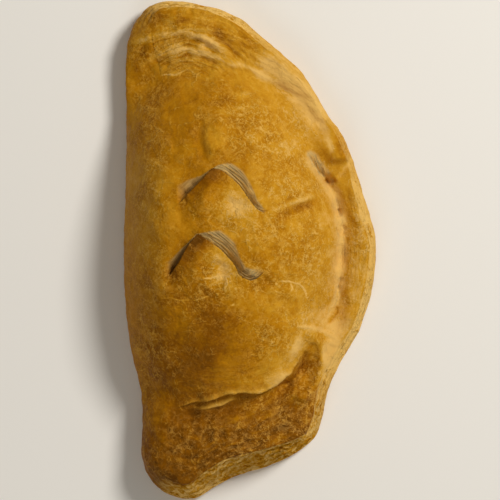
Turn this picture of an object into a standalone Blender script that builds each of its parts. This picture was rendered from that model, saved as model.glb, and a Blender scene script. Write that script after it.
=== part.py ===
"""A baked puff-pastry pasty: one solid crust, folded along its straight side and sealed along its round side.

The crust starts as a box divided into a grid. Its top becomes the domed lid, its four sides the rolled
fold and the layered cut edge, and its bottom the flat base. Two wedge cutters then open the snipped vents.
Lengths are in millimetres until the mesh is built: +X points to the sealed edge, +Y to the narrow end, +Z up.
"""

import math

import bmesh
import bpy
import numpy as np
from mathutils import Vector, noise

METRES = 0.001
ON_TABLE = 1e-6

# How finely the box is divided: cells across the lid, along it, and down the edge
CELLS_ACROSS = 33
CELLS_ALONG = 58
ROWS_ABOVE_BELLY = 8
ROWS_BELOW_BELLY = 2

# Heights above the table
DOME_HEIGHT = 40.0
BRIM_HEIGHT = 11.5
SOUTH_END_HEIGHT = 23.0
NORTH_END_HEIGHT = 17.5

# The belly is the level where an edge reaches furthest out
FOLD_BELLY = 9.0
CUT_BELLY = 4.0
FOLD_TUCK = 5.0
CUT_TUCK = 1.6
FOLD_ROUNDNESS = 2.1
CUT_ROUNDNESS = 1.35

# Each layer of the cut edge is a step: how far its face leans back in, and its share of the next step
LAYER_LEAN = 0.5
LAYER_REACH = 0.75

# The outline seen from above, counter-clockwise from corner to corner: x, y, edge width, cut share
SEALED_SIDE = [
    (16.9, -76.1, 6.0, 1.0),
    (24.0, -70.4, 4.5, 1.0),
    (27.0, -62.5, 4.0, 0.8),
    (29.3, -52.3, 4.5, 0.6),
    (34.4, -41.1, 4.0, 0.8),
    (40.7, -29.9, 3.2, 1.0),
    (44.6, -18.8, 3.2, 1.0),
    (46.6, -7.6, 3.0, 1.0),
    (47.0, 3.5, 3.0, 1.0),
    (44.6, 13.2, 3.8, 1.0),
    (41.8, 22.5, 3.6, 1.0),
    (38.6, 33.5, 3.0, 1.0),
    (34.0, 43.8, 2.6, 1.0),
    (29.0, 50.8, 2.6, 1.0),
    (19.5, 66.0, 3.0, 1.0),
]
NORTH_END = [
    (8.6, 76.0, 3.0, 1.0),
    (-3.8, 86.4, 3.0, 1.0),
    (-16.6, 91.4, 2.8, 1.0),
    (-28.5, 92.8, 2.8, 1.0),
    (-36.5, 91.6, 4.0, 0.8),
]
FOLDED_SIDE = [
    (-41.6, 86.6, 6.5, 0.5),
    (-45.2, 79.0, 9.5, 0.1),
    (-46.5, 67.0, 13.0, 0.0),
    (-46.1, 46.0, 16.0, 0.0),
    (-46.5, 20.0, 17.0, 0.0),
    (-47.1, 0.0, 17.0, 0.0),
    (-46.6, -19.5, 17.0, 0.0),
    (-44.2, -37.4, 15.0, 0.0),
    (-40.8, -52.0, 13.0, 0.0),
    (-40.2, -65.3, 9.5, 0.0),
]
SOUTH_END = [
    (-40.4, -77.0, 7.5, 0.2),
    (-36.4, -86.4, 6.5, 0.6),
    (-29.5, -91.6, 7.0, 1.0),
    (-20.8, -92.6, 8.5, 1.0),
    (-13.2, -88.4, 9.0, 1.0),
    (-4.8, -84.4, 8.5, 1.0),
    (7.0, -80.6, 7.5, 1.0),
]
SIDES = (SEALED_SIDE, NORTH_END, FOLDED_SIDE, SOUTH_END)

# The filled dome: its middle, and how far it reaches in each direction, in degrees from +X
DOME_MIDDLE = (-10.0, 2.0)
DOME_REACH = (
    (0, 45.5),
    (20, 46.0),
    (40, 48.5),
    (58, 55.0),
    (75, 67.0),
    (90, 74.0),
    (110, 73.0),
    (130, 66.0),
    (150, 59.0),
    (180, 56.0),
    (210, 59.0),
    (235, 66.0),
    (255, 74.0),
    (275, 76.0),
    (295, 68.0),
    (315, 53.0),
    (335, 47.0),
    (360, 45.5),
)
DOME_TURNS = (-8, -4, 0, 4, 8)
DOME_FULLNESS = 2.5
DOME_SHOULDER = 0.75

# The puffed ends: middle, half width, half length
SOUTH_LOBE = ((-8.0, -70.0), 42.0, 28.0)
NORTH_LOBE = ((-22.0, 80.0), 30.0, 22.0)
BLEND = 2.2

# Ridges and grooves pressed or risen into the lid: path, height (a groove is negative), half width
FOLDS = (
    # the seal between dome and brim
    (((18.8, 35.2), (27.0, 27.0), (32.2, 17.7), (34.4, 6.5), (34.8, -5.8), (33.6, -18.8), (29.5, -30.0)),
     -2.6, 2.9),
    # the puffed crest of the brim
    (((36.6, 27.3), (39.4, 16.6), (41.0, 5.4), (41.2, -5.8), (39.4, -16.9), (36.2, -27.0), (32.0, -37.0)),
     2.4, 3.8),
    # the seal's upper reach, and the lobe of the brim beside it
    (((4.7, 62.3), (14.7, 58.2), (19.9, 53.4), (24.4, 47.4), (28.5, 40.7)), -1.2, 2.4),
    (((27.5, 46.0), (31.5, 38.0), (33.0, 31.0)), 3.2, 4.2),
    # the gusset beside the lobe
    (((18.4, 35.5), (22.9, 31.4), (26.2, 27.3), (30.4, 23.6)), -3.4, 2.6),
    # the valley running from the first vent to the seal
    (((6.0, 13.4), (11.3, 15.4), (18.0, 18.0), (25.0, 19.8)), -2.0, 2.4),
    # the raised blister above the first vent
    (((-8.0, 49.0), (-11.0, 42.0), (-10.0, 35.0)), 1.8, 5.5),
    # creases where the dome meets the narrow end
    (((-41.5, 66.8), (-30.3, 72.4), (-20.0, 74.3), (-8.7, 71.6)), -1.4, 2.6),
    (((-13.9, 82.0), (-10.6, 78.7), (-7.6, 75.0), (-3.5, 71.2)), -1.6, 2.6),
    # the pleat: a valley behind the lip, a rounded ridge round it, and a hollow outside
    (((23.0, -34.8), (21.4, -40.0), (18.0, -45.6), (13.0, -51.0), (4.0, -54.4)), -4.2, 3.0),
    (((17.6, -29.0), (22.8, -31.0), (25.8, -36.0), (26.0, -42.5), (23.6, -49.2), (16.4, -54.6)), 3.8, 3.2),
    (((31.5, -29.2), (29.9, -36.0), (29.4, -43.0)), -2.0, 2.8),
    # the valley left of the pleat, under the dome's lip
    (((-33.0, -61.6), (-22.0, -61.2), (-11.0, -58.8), (1.0, -54.6)), -2.4, 3.2),
)

# The lip where the dome's crust hangs over the broad end, west to east
LIP_PATH = (
    (-34.0, -60.0),
    (-24.0, -59.4),
    (-15.1, -58.0),
    (-5.4, -54.7),
    (1.5, -52.0),
    (7.5, -51.6),
    (14.3, -46.0),
    (19.9, -38.5),
    (23.0, -34.2),
)
LIP_HEIGHT = 2.6
LIP_DECAY = 7.0
LIP_SOFTNESS = 2.2

# Snipped vents: each snip runs from its left end up to the tip, then down to its right end
VENTS = (
    {
        "left": ((-27.0, 16.6), (-23.0, 18.8), (-18.4, 23.4), (-13.6, 29.0)),
        "right": ((-10.6, 27.8), (-5.8, 23.8), (-1.8, 18.6), (1.4, 14.6), (5.8, 13.6)),
        "opening": (2.0, 3.6),
        "depth": 7.0,
        "lift": 3.4,
    },
    {
        "left": ((-30.8, -10.2), (-26.4, -4.6), (-22.8, 0.2), (-19.0, 5.2)),
        "right": ((-14.2, 2.2), (-8.6, -2.6), (-5.2, -6.8), (-1.6, -10.6), (5.0, -8.6)),
        "opening": (2.4, 4.2),
        "depth": 7.0,
        "lift": 3.8,
    },
)
TONGUE_REACH = 13.0
TONGUE_EDGE = (1.6, -1.0)
EDGE_CURL = 0.8
CURL_REACH = 3.0
SNIP_TIP_OPENING = 0.7
SNIP_END_OPENING = 0.5
SNIP_END_DEPTH = 1.0
CUTTER_ABOVE = 14.0
CUTTER_LOOK_OUT = 4.0
SECTIONS_PER_ARM = 6

LUMPS = ((26.0, 1.1, 3.0), (9.0, 0.55, 11.0))
EDGE_WAVE = (7.0, 0.45, 23.0)
FINE_REACH = 3.6
DEEP_FOLD = 2.5


def smooth_path(points, steps, closed=False):
    """A Catmull-Rom curve through the points, which may have any number of columns."""
    points = np.array(points, float)
    if closed:
        points = np.vstack([points[-1:], points, points[:2]])
    else:
        points = np.vstack([2 * points[0] - points[1], points, 2 * points[-1] - points[-2]])
    t = np.linspace(0.0, 1.0, steps, endpoint=False)[:, None]
    spans = []
    for a, b, c, d in zip(points[:-3], points[1:-2], points[2:-1], points[3:]):
        spans.append(
            0.5 * (2 * b + (c - a) * t + (2 * a - 5 * b + 4 * c - d) * t**2 + (3 * b - a - 3 * c + d) * t**3)
        )
    curve = np.vstack(spans)
    return curve if closed else np.vstack([curve, points[-2:-1]])


def beside(path, x, y):
    """(distance to the left of the path, share of its length) for each point, negative to the right of it."""
    start, end = path[:-1], path[1:]
    run = end - start
    length = np.hypot(run[:, 0], run[:, 1])
    before = np.concatenate([[0.0], np.cumsum(length)])
    dx = x[:, None] - start[:, 0]
    dy = y[:, None] - start[:, 1]
    share = np.clip((dx * run[:, 0] + dy * run[:, 1]) / length**2, 0.0, 1.0)
    away = np.hypot(dx - share * run[:, 0], dy - share * run[:, 1])
    nearest = away.argmin(1)
    rows = np.arange(len(x))
    side = run[nearest, 0] * dy[rows, nearest] - run[nearest, 1] * dx[rows, nearest]
    distance = away[rows, nearest] * np.where(side < 0, -1.0, 1.0)
    fraction = (before[nearest] + share[rows, nearest] * length[nearest]) / before[-1]
    return distance, fraction


def smoothstep(low, high, value):
    t = np.clip((value - low) / (high - low), 0.0, 1.0)
    return t * t * (3 - 2 * t)


def fade_ends(fraction, share=0.2):
    return smoothstep(0.0, share, fraction) * smoothstep(0.0, share, 1.0 - fraction)


def lumps(x, y, size, height, seed):
    """Smooth noise of a given size and height, in millimetres."""
    points = zip(x / size + seed, y / size - seed, np.zeros_like(x))
    return height * np.array([noise.noise(Vector(point)) for point in points])


def smooth_max(a, b, blend):
    return np.maximum(a, b) + blend * np.log1p(np.exp(-np.abs(a - b) / blend))


def dome(x, y):
    away = np.hypot(x - DOME_MIDDLE[0], y - DOME_MIDDLE[1])
    angle = np.degrees(np.arctan2(y - DOME_MIDDLE[1], x - DOME_MIDDLE[0])) % 360
    directions, reaches = np.array(DOME_REACH, float).T
    turned = [np.interp((angle + turn) % 360, directions, reaches) for turn in DOME_TURNS]
    smooth_reach = np.mean(turned, axis=0)
    return DOME_HEIGHT * np.clip(1 - (away / smooth_reach) ** DOME_FULLNESS, 0.0, 1.0) ** DOME_SHOULDER


def lobe(x, y, place, height):
    (middle_x, middle_y), half_width, half_length = place
    spread = np.abs((x - middle_x) / half_width) ** 3 + np.abs((y - middle_y) / half_length) ** 3
    return height * np.clip(1 - spread, 0.0, 1.0) ** 0.5


def vent_path(vent):
    """The snip as one line whose tip stays sharp, and the tip's share of its length."""
    tip = vent["left"][-1]
    left = smooth_path(vent["left"], 4)
    right = smooth_path((tip,) + vent["right"], 4)
    path = np.vstack([left, right[1:]])
    lengths = np.hypot(*np.diff(path, axis=0).T)
    return path, lengths[: len(left) - 1].sum() / lengths.sum(), np.array(tip)


def tongues(x, y):
    """The flap below each snip curls up in the oven, most at its tip."""
    height = np.zeros_like(x)
    for vent in VENTS:
        path, _, tip = vent_path(vent)
        outside, fraction = beside(path, x, y)
        near_tip = np.exp(-((np.hypot(x - tip[0], y - tip[1]) / TONGUE_REACH) ** 1.6))
        inside = smoothstep(*TONGUE_EDGE, outside)
        height += vent["lift"] * near_tip * inside
        height += EDGE_CURL * np.exp(-np.abs(outside) / CURL_REACH) * inside * fade_ends(fraction)
    return height


def lid_height(x, y):
    """Height of the lid above the table at each place."""
    height = smooth_max(dome(x, y), np.full_like(x, BRIM_HEIGHT), BLEND)
    height = smooth_max(height, lobe(x, y, SOUTH_LOBE, SOUTH_END_HEIGHT), BLEND)
    height = smooth_max(height, lobe(x, y, NORTH_LOBE, NORTH_END_HEIGHT), BLEND)
    for points, rise, half_width in FOLDS:
        distance, fraction = beside(smooth_path(points, 5), x, y)
        height += rise * np.exp(-((distance / half_width) ** 2)) * fade_ends(fraction)
    over, fraction = beside(smooth_path(LIP_PATH, 5), x, y)
    lip = np.exp(-np.clip(over, 0.0, None) / LIP_DECAY) * smoothstep(-LIP_SOFTNESS, LIP_SOFTNESS, over)
    height += LIP_HEIGHT * lip * fade_ends(fraction, 0.3)
    for size, rise, seed in LUMPS:
        height += lumps(x, y, size, rise, seed)
    return height + tongues(x, y)


class Rim:
    """The outline as a closed curve, looked up by side number plus share of that side's length."""

    def __init__(self, steps=24):
        columns = smooth_path([point for side in SIDES for point in side], steps, closed=True)
        ahead = np.roll(columns[:, :2], -3, axis=0) - np.roll(columns[:, :2], 3, axis=0)
        inward = np.column_stack([-ahead[:, 1], ahead[:, 0]])
        inward /= np.linalg.norm(inward, axis=1, keepdims=True)
        columns = np.column_stack([columns, inward])
        columns = np.vstack([columns, columns[:1]])
        self.tables = []
        begin = 0
        for side in SIDES:
            rows = columns[begin : begin + len(side) * steps + 1]
            length = np.concatenate([[0.0], np.cumsum(np.hypot(*np.diff(rows[:, :2], axis=0).T))])
            self.tables.append((length / length[-1], rows))
            begin += len(side) * steps

    def at(self, place):
        """(x, y, edge width, cut share, inward x, inward y) at each place from 0 to 4 round the outline."""
        place = np.asarray(place, float) % 4
        found = np.zeros((len(place), 6))
        for number, (share, rows) in enumerate(self.tables):
            here = (place >= number) & (place < number + 1)
            for column in range(6):
                found[here, column] = np.interp(place[here] - number, share, rows[:, column])
        return found


class Sheet:
    """Spreads the inside of a closed curve over a disc, by the curve's own Fourier series."""

    def __init__(self, curve, harmonics=40):
        samples = 512
        points = curve(np.arange(samples) * 4 / samples)
        series = np.fft.fft(points[:, 0] + 1j * points[:, 1]) / samples
        self.orders = np.arange(-harmonics, harmonics + 1)
        self.series = series[self.orders]

    def at(self, radius, place):
        angle = np.asarray(place) * math.pi / 2
        waves = radius[:, None] ** np.abs(self.orders) * np.exp(1j * np.outer(angle, self.orders))
        found = waves @ self.series
        return found.real, found.imag


def disc_place(a, b):
    """Takes a square's points to a disc: (radius, place from 0 to 4 round it)."""
    radius = np.maximum(np.abs(a), np.abs(b))
    safe = np.where(radius > 0, radius, 1.0)
    across, up = a / safe, b / safe
    place = np.where(across >= 1, (up + 1) / 2, 0.0)
    place = np.where((up >= 1) & (across < 1), 1 + (1 - across) / 2, place)
    place = np.where((across <= -1) & (up < 1), 2 + (1 - up) / 2, place)
    place = np.where((up <= -1) & (across > -1) & (across < 1), 3 + (across + 1) / 2, place)
    return radius, place % 4


def edge_profile(row, roundness):
    """(how far in, how far up) a row of the edge lies, as shares, on a quarter of a superellipse."""
    turn = np.clip(row / ROWS_ABOVE_BELLY, 0.0, 1.0) * math.pi / 2
    return 1 - np.sin(turn) ** (2 / roundness), np.clip(np.cos(turn), 0.0, 1.0) ** (2 / roundness)


class Crust:
    """Moves the points of a box, from -1 to 1 each way, onto the pasty."""

    def __init__(self):
        self.rim = Rim()
        self.lid_sheet = Sheet(lambda place: self.set_in(place, "lid"))
        self.base_sheet = Sheet(lambda place: self.set_in(place, "base"))

    def tuck(self, cut):
        return FOLD_TUCK + (CUT_TUCK - FOLD_TUCK) * cut

    def set_in(self, place, which):
        x, y, width, cut, inward_x, inward_y = self.rim.at(place).T
        inset = width if which == "lid" else self.tuck(cut)
        return np.column_stack([x + inward_x * inset, y + inward_y * inset])

    def plan(self, box):
        """Where each point of the box's top lies seen from above."""
        radius, place = disc_place(box[:, 0], box[:, 1])
        x, y = self.lid_sheet.at(radius, place)
        rim = radius > 0.999
        x[rim], y[rim] = self.set_in(place[rim], "lid").T
        return x, y

    def edge(self, box):
        """The rolled or cut edge. Its rows run from the lid down to the belly, then back in to the base."""
        _, place = disc_place(box[:, 0], box[:, 1])
        x, y, width, cut, inward_x, inward_y = self.rim.at(place).T
        row = (1 - box[:, 2]) / 2 * (ROWS_ABOVE_BELLY + ROWS_BELOW_BELLY)
        below = np.clip((row - ROWS_ABOVE_BELLY) / ROWS_BELOW_BELLY, 0.0, 1.0) * math.pi / 2
        roundness = FOLD_ROUNDNESS + (CUT_ROUNDNESS - FOLD_ROUNDNESS) * cut
        back, share = edge_profile(row, roundness)
        step_back, _ = edge_profile(row - 1, roundness)
        _, step_share = edge_profile(row + 1, roundness)
        stepped = np.where((np.round(row) % 2 == 1) & (row < ROWS_ABOVE_BELLY), cut, 0.0)
        back = back + (step_back - back) * stepped
        share = share + (step_share - share) * stepped * LAYER_REACH
        inset = np.where(below > 0, self.tuck(cut) * (1 - np.cos(below)), width * back)
        wave = cut * lumps(x, y, *EDGE_WAVE)
        inset = inset + wave * (1 - back) + LAYER_LEAN * stepped
        x, y = x + inward_x * inset, y + inward_y * inset
        belly = FOLD_BELLY + (CUT_BELLY - FOLD_BELLY) * cut
        rise = (lid_height(x, y) - belly) * share
        return x, y, np.where(below > 0, belly * (1 - np.sin(below)), belly + rise)

    def base(self, box):
        radius, place = disc_place(box[:, 0], box[:, 1])
        x, y = self.base_sheet.at(radius, place)
        return x, y, np.zeros_like(x)

    def shape(self, box):
        placed = np.zeros_like(box)
        outer = np.maximum(np.abs(box[:, 0]), np.abs(box[:, 1])) > 0.9999
        top = (box[:, 2] > 0.9999) & ~outer
        bottom = (box[:, 2] < -0.9999) & ~outer
        x, y = self.plan(box[top])
        placed[top] = np.column_stack([x, y, lid_height(x, y)])
        placed[outer] = np.column_stack(self.edge(box[outer]))
        placed[bottom] = np.column_stack(self.base(box[bottom]))
        return placed


def box_grid():
    """A box from -1 to 1 each way, cut into cells along its length, width and height."""
    bm = bmesh.new()
    bmesh.ops.create_cube(bm, size=2.0)
    counts = (CELLS_ACROSS, CELLS_ALONG, ROWS_ABOVE_BELLY + ROWS_BELOW_BELLY)
    for axis, count in enumerate(counts):
        long_edges = [e for e in bm.edges if abs(e.verts[0].co[axis] - e.verts[1].co[axis]) > 1.0]
        bmesh.ops.subdivide_edges(bm, edges=long_edges, cuts=count - 1, use_grid_fill=True)
    return bm


def coordinates(bm):
    return np.array([v.co for v in bm.verts], float)


def refine_near_folds(bm, crust):
    """Halves the cells of the lid that a fold, the lip or a snip crosses."""
    bm.verts.ensure_lookup_table()
    box = coordinates(bm)
    x, y = crust.plan(box)
    near = np.zeros(len(box), bool)
    paths = [smooth_path(LIP_PATH, 3)] + [vent_path(vent)[0] for vent in VENTS]
    paths += [smooth_path(points, 3) for points, rise, _ in FOLDS if abs(rise) > DEEP_FOLD]
    for path in paths:
        near |= np.abs(beside(path, x, y)[0]) < FINE_REACH
    near &= box[:, 2] > 0.9999
    edges = [e for e in bm.edges if near[e.verts[0].index] and near[e.verts[1].index]]
    bmesh.ops.subdivide_edges(bm, edges=edges, cuts=1, use_grid_fill=True)


def flatten_base(bm):
    """Makes the flat base one face."""
    base_faces = {f for f in bm.faces if all(v.co.z < ON_TABLE for v in f.verts)}
    inner_edges = list({e for f in base_faces for e in f.edges if all(g in base_faces for g in e.link_faces)})
    bmesh.ops.dissolve_edges(bm, edges=inner_edges, use_verts=True, use_face_split=False)


def colour_material(name, colour, roughness):
    material = bpy.data.materials.new(name)
    material.use_nodes = True
    surface = material.node_tree.nodes["Principled BSDF"]
    surface.inputs["Base Color"].default_value = (*colour, 1.0)
    surface.inputs["Roughness"].default_value = roughness
    surface.inputs["Metallic"].default_value = 0.0
    return material


def make_crust(collection, material):
    crust = Crust()
    bm = box_grid()
    refine_near_folds(bm, crust)
    for vertex, place in zip(bm.verts, crust.shape(coordinates(bm))):
        vertex.co = place * METRES
    flatten_base(bm)
    bmesh.ops.triangulate(bm, faces=bm.faces[:])
    bmesh.ops.recalc_face_normals(bm, faces=bm.faces[:])
    mesh = bpy.data.meshes.new("pasty")
    bm.to_mesh(mesh)
    bm.free()
    mesh.materials.append(material)
    mesh.shade_smooth()
    mesh.set_sharp_from_angle(angle=math.radians(50))
    pasty = bpy.data.objects.new("pasty", mesh)
    collection.objects.link(pasty)
    return pasty


def make_snip(number, vent, collection):
    """A wedge along the snip: upright beside the tongue, sloping outside, narrow at tip and ends."""
    path, tip_share, _ = vent_path(vent)
    lengths = np.concatenate([[0.0], np.cumsum(np.hypot(*np.diff(path, axis=0).T))])
    lengths /= lengths[-1]
    shares = np.concatenate(
        [
            np.linspace(0.0, tip_share, SECTIONS_PER_ARM + 1),
            np.linspace(tip_share, 1.0, SECTIONS_PER_ARM + 1)[1:],
        ]
    )
    spots = np.column_stack([np.interp(shares, lengths, path[:, 0]), np.interp(shares, lengths, path[:, 1])])
    runs = np.gradient(spots, axis=0)
    outward = np.column_stack([-runs[:, 1], runs[:, 0]])
    outward /= np.linalg.norm(outward, axis=1, keepdims=True)
    left_arm = shares <= tip_share
    along_arm = np.where(left_arm, shares / tip_share, (1 - shares) / (1 - tip_share))
    swell = np.sin(math.pi * np.clip(along_arm, 0.0, 1.0)) ** 0.8
    arm_opening = np.where(left_arm, vent["opening"][0], vent["opening"][1])
    narrow = SNIP_END_OPENING + (SNIP_TIP_OPENING - SNIP_END_OPENING) * along_arm
    opening = narrow + (arm_opening - narrow) * swell
    depth = SNIP_END_DEPTH + (vent["depth"] - SNIP_END_DEPTH) * np.clip(2.2 * along_arm, 0.0, 1.0) ** 0.7
    beyond = spots + outward * CUTTER_LOOK_OUT
    surface = lid_height(beyond[:, 0], beyond[:, 1])
    bm = bmesh.new()
    rings = []
    for spot, out, wide, deep, level in zip(spots, outward, opening, depth, surface):
        rise = CUTTER_ABOVE / deep * wide
        corners = (
            (*spot, level - deep),
            (*spot, level + CUTTER_ABOVE),
            (*(spot + out * (wide + rise)), level + CUTTER_ABOVE),
        )
        rings.append([bm.verts.new(Vector(corner) * METRES) for corner in corners])
    for near, far in zip(rings[:-1], rings[1:]):
        for k in range(3):
            bm.faces.new((near[k], near[(k + 1) % 3], far[(k + 1) % 3], far[k]))
    bm.faces.new(rings[0])
    bm.faces.new(rings[-1])
    bmesh.ops.recalc_face_normals(bm, faces=bm.faces[:])
    mesh = bpy.data.meshes.new(f"snip_{number}")
    bm.to_mesh(mesh)
    bm.free()
    cutter = bpy.data.objects.new(f"snip_{number}", mesh)
    cutter.hide_render = True
    cutter.display_type = "WIRE"
    collection.objects.link(cutter)
    return cutter


def cut(target, cutter):
    modifier = target.modifiers.new(f"cut_{cutter.name}", "BOOLEAN")
    modifier.operation = "DIFFERENCE"
    modifier.solver = "EXACT"
    modifier.object = cutter


def new_collection(name):
    collection = bpy.data.collections.new(name)
    bpy.context.scene.collection.children.link(collection)
    return collection


def main():
    for obj in list(bpy.data.objects):
        bpy.data.objects.remove(obj)
    parts = new_collection("baked_pasty")
    cutters = new_collection("cutters")
    crust_material = colour_material("golden_crust", (0.46, 0.21, 0.02), 0.5)
    pasty = make_crust(parts, crust_material)
    for number, vent in enumerate(VENTS, 1):
        cut(pasty, make_snip(number, vent, cutters))


main()
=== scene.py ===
"""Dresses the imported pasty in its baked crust, and sets it on a plain stage under a soft light.

The crust is a fine grid laid over the same outline and heights as the solid, then pressed, lifted, lapped
and snipped as the tables say. Lengths in the tables are millimetres, with +X to the sealed edge and +Y to
the narrow end.
"""

import math

import bmesh
import bpy
import numpy as np
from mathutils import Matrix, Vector, noise


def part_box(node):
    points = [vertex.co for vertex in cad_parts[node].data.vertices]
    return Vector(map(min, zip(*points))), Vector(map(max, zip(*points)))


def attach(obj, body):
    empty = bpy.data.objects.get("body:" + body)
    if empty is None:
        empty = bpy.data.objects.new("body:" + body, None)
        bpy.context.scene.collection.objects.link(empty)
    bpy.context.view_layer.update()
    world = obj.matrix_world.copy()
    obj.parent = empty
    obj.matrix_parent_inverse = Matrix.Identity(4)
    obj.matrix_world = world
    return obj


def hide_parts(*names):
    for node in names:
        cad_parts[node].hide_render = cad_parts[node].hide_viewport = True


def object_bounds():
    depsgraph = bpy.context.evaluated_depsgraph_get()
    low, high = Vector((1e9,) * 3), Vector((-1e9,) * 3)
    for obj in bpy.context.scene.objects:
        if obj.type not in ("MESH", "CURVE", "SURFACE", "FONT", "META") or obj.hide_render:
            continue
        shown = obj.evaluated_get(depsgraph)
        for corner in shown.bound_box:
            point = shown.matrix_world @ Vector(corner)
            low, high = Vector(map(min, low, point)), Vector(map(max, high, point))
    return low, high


bl_info = {
    "name": "Baked pasty",
    "version": (1, 0, 0),
    "blender": (4, 5, 0),
    "location": "3D View > Sidebar > Pasty",
    "description": "Builds a pasty's baked crust over its solid, and a stage to see it on",
    "category": "Add Mesh",
}

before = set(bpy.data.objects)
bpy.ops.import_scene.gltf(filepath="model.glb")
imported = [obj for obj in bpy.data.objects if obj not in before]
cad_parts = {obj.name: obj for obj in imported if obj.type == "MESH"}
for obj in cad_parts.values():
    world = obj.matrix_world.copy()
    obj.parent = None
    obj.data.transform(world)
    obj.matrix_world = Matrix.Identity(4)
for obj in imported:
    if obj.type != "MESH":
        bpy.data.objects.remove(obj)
solid_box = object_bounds()

METRES = 0.001

# The outline from above, counter-clockwise from corner to corner: x, y, edge width, share of cut layers
SEALED_SIDE = [
    (16.9, -76.1, 6.0, 1.0),
    (24.0, -70.4, 4.5, 1.0),
    (27.0, -62.5, 4.0, 0.8),
    (29.3, -52.3, 4.5, 0.6),
    (34.4, -41.1, 4.0, 0.8),
    (40.7, -29.9, 3.2, 1.0),
    (44.6, -18.8, 3.2, 1.0),
    (46.6, -7.6, 3.0, 0.8),
    (47.0, 3.5, 3.0, 0.8),
    (44.6, 13.2, 3.8, 0.8),
    (41.8, 22.5, 3.6, 0.7),
    (38.6, 33.5, 3.0, 0.5),
    (34.0, 43.8, 2.6, 0.3),
    (29.0, 50.8, 2.6, 0.3),
    (19.5, 66.0, 3.0, 0.3),
]
NORTH_END = [
    (8.6, 76.0, 3.0, 0.4),
    (-3.8, 86.4, 3.0, 1.0),
    (-16.6, 91.4, 2.8, 1.0),
    (-28.5, 92.8, 2.8, 1.0),
    (-36.5, 91.6, 4.0, 0.6),
]
FOLDED_SIDE = [
    (-41.6, 86.6, 6.5, 0.15),
    (-45.2, 79.0, 9.5, 0.0),
    (-46.5, 67.0, 13.0, 0.0),
    (-46.1, 46.0, 16.0, 0.0),
    (-46.5, 20.0, 17.0, 0.0),
    (-47.1, 0.0, 17.0, 0.0),
    (-46.6, -19.5, 17.0, 0.0),
    (-44.2, -37.4, 14.5, 0.0),
    (-40.8, -52.0, 11.5, 0.0),
    (-40.2, -65.3, 9.5, 0.0),
]
SOUTH_END = [
    (-40.4, -77.0, 7.5, 0.0),
    (-36.4, -86.4, 6.5, 0.15),
    (-29.5, -91.6, 6.0, 0.8),
    (-20.8, -92.6, 6.5, 1.0),
    (-13.2, -88.4, 7.5, 1.0),
    (-4.8, -84.4, 8.5, 1.0),
    (7.0, -80.6, 7.5, 1.0),
]
SIDES = (SEALED_SIDE, NORTH_END, FOLDED_SIDE, SOUTH_END)

# The filled dome: its middle, and how far it reaches in each direction, in degrees from +X
DOME_MIDDLE = (-10.0, 2.0)
DOME_REACH = (
    (0, 45.5),
    (20, 46.0),
    (40, 48.5),
    (58, 55.0),
    (75, 67.0),
    (90, 74.0),
    (110, 73.0),
    (130, 66.0),
    (150, 59.0),
    (180, 56.0),
    (210, 59.0),
    (235, 66.0),
    (255, 74.0),
    (275, 76.0),
    (295, 68.0),
    (315, 53.0),
    (335, 47.0),
    (360, 45.5),
)
# Copies of that reach, turned by these angles, are averaged to round off its corners
DOME_TURNS = (-8, -4, 0, 4, 8)
DOME_FULLNESS = 2.5
DOME_SHOULDER = 0.75

# The puffed ends: middle, half width, half length
SOUTH_LOBE = ((-8.0, -70.0), 42.0, 28.0)
NORTH_LOBE = ((-22.0, 80.0), 30.0, 22.0)

# How softly dome, brim and ends run together
BLEND = 2.2

# The length that the grain counts from the middle out to the rim
HALF_WIDTH = 45.0

# The belly is the level where an edge reaches furthest out, the tuck how far it then draws in to the base
FOLD_TUCK = 5.0
CUT_TUCK = 1.6
FOLD_ROUNDNESS = 2.1
CUT_ROUNDNESS = 1.35

# The leaves of the cut edge. Each first falls by its drop over its riser, both shares, and then treads out
LEAF_THICKNESS = 1.3
LEAF_GAP = 1.5
LEAF_SET_BACK = 1.0
LEAF_RISER = 0.55
LEAF_DROP = 0.78

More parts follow.
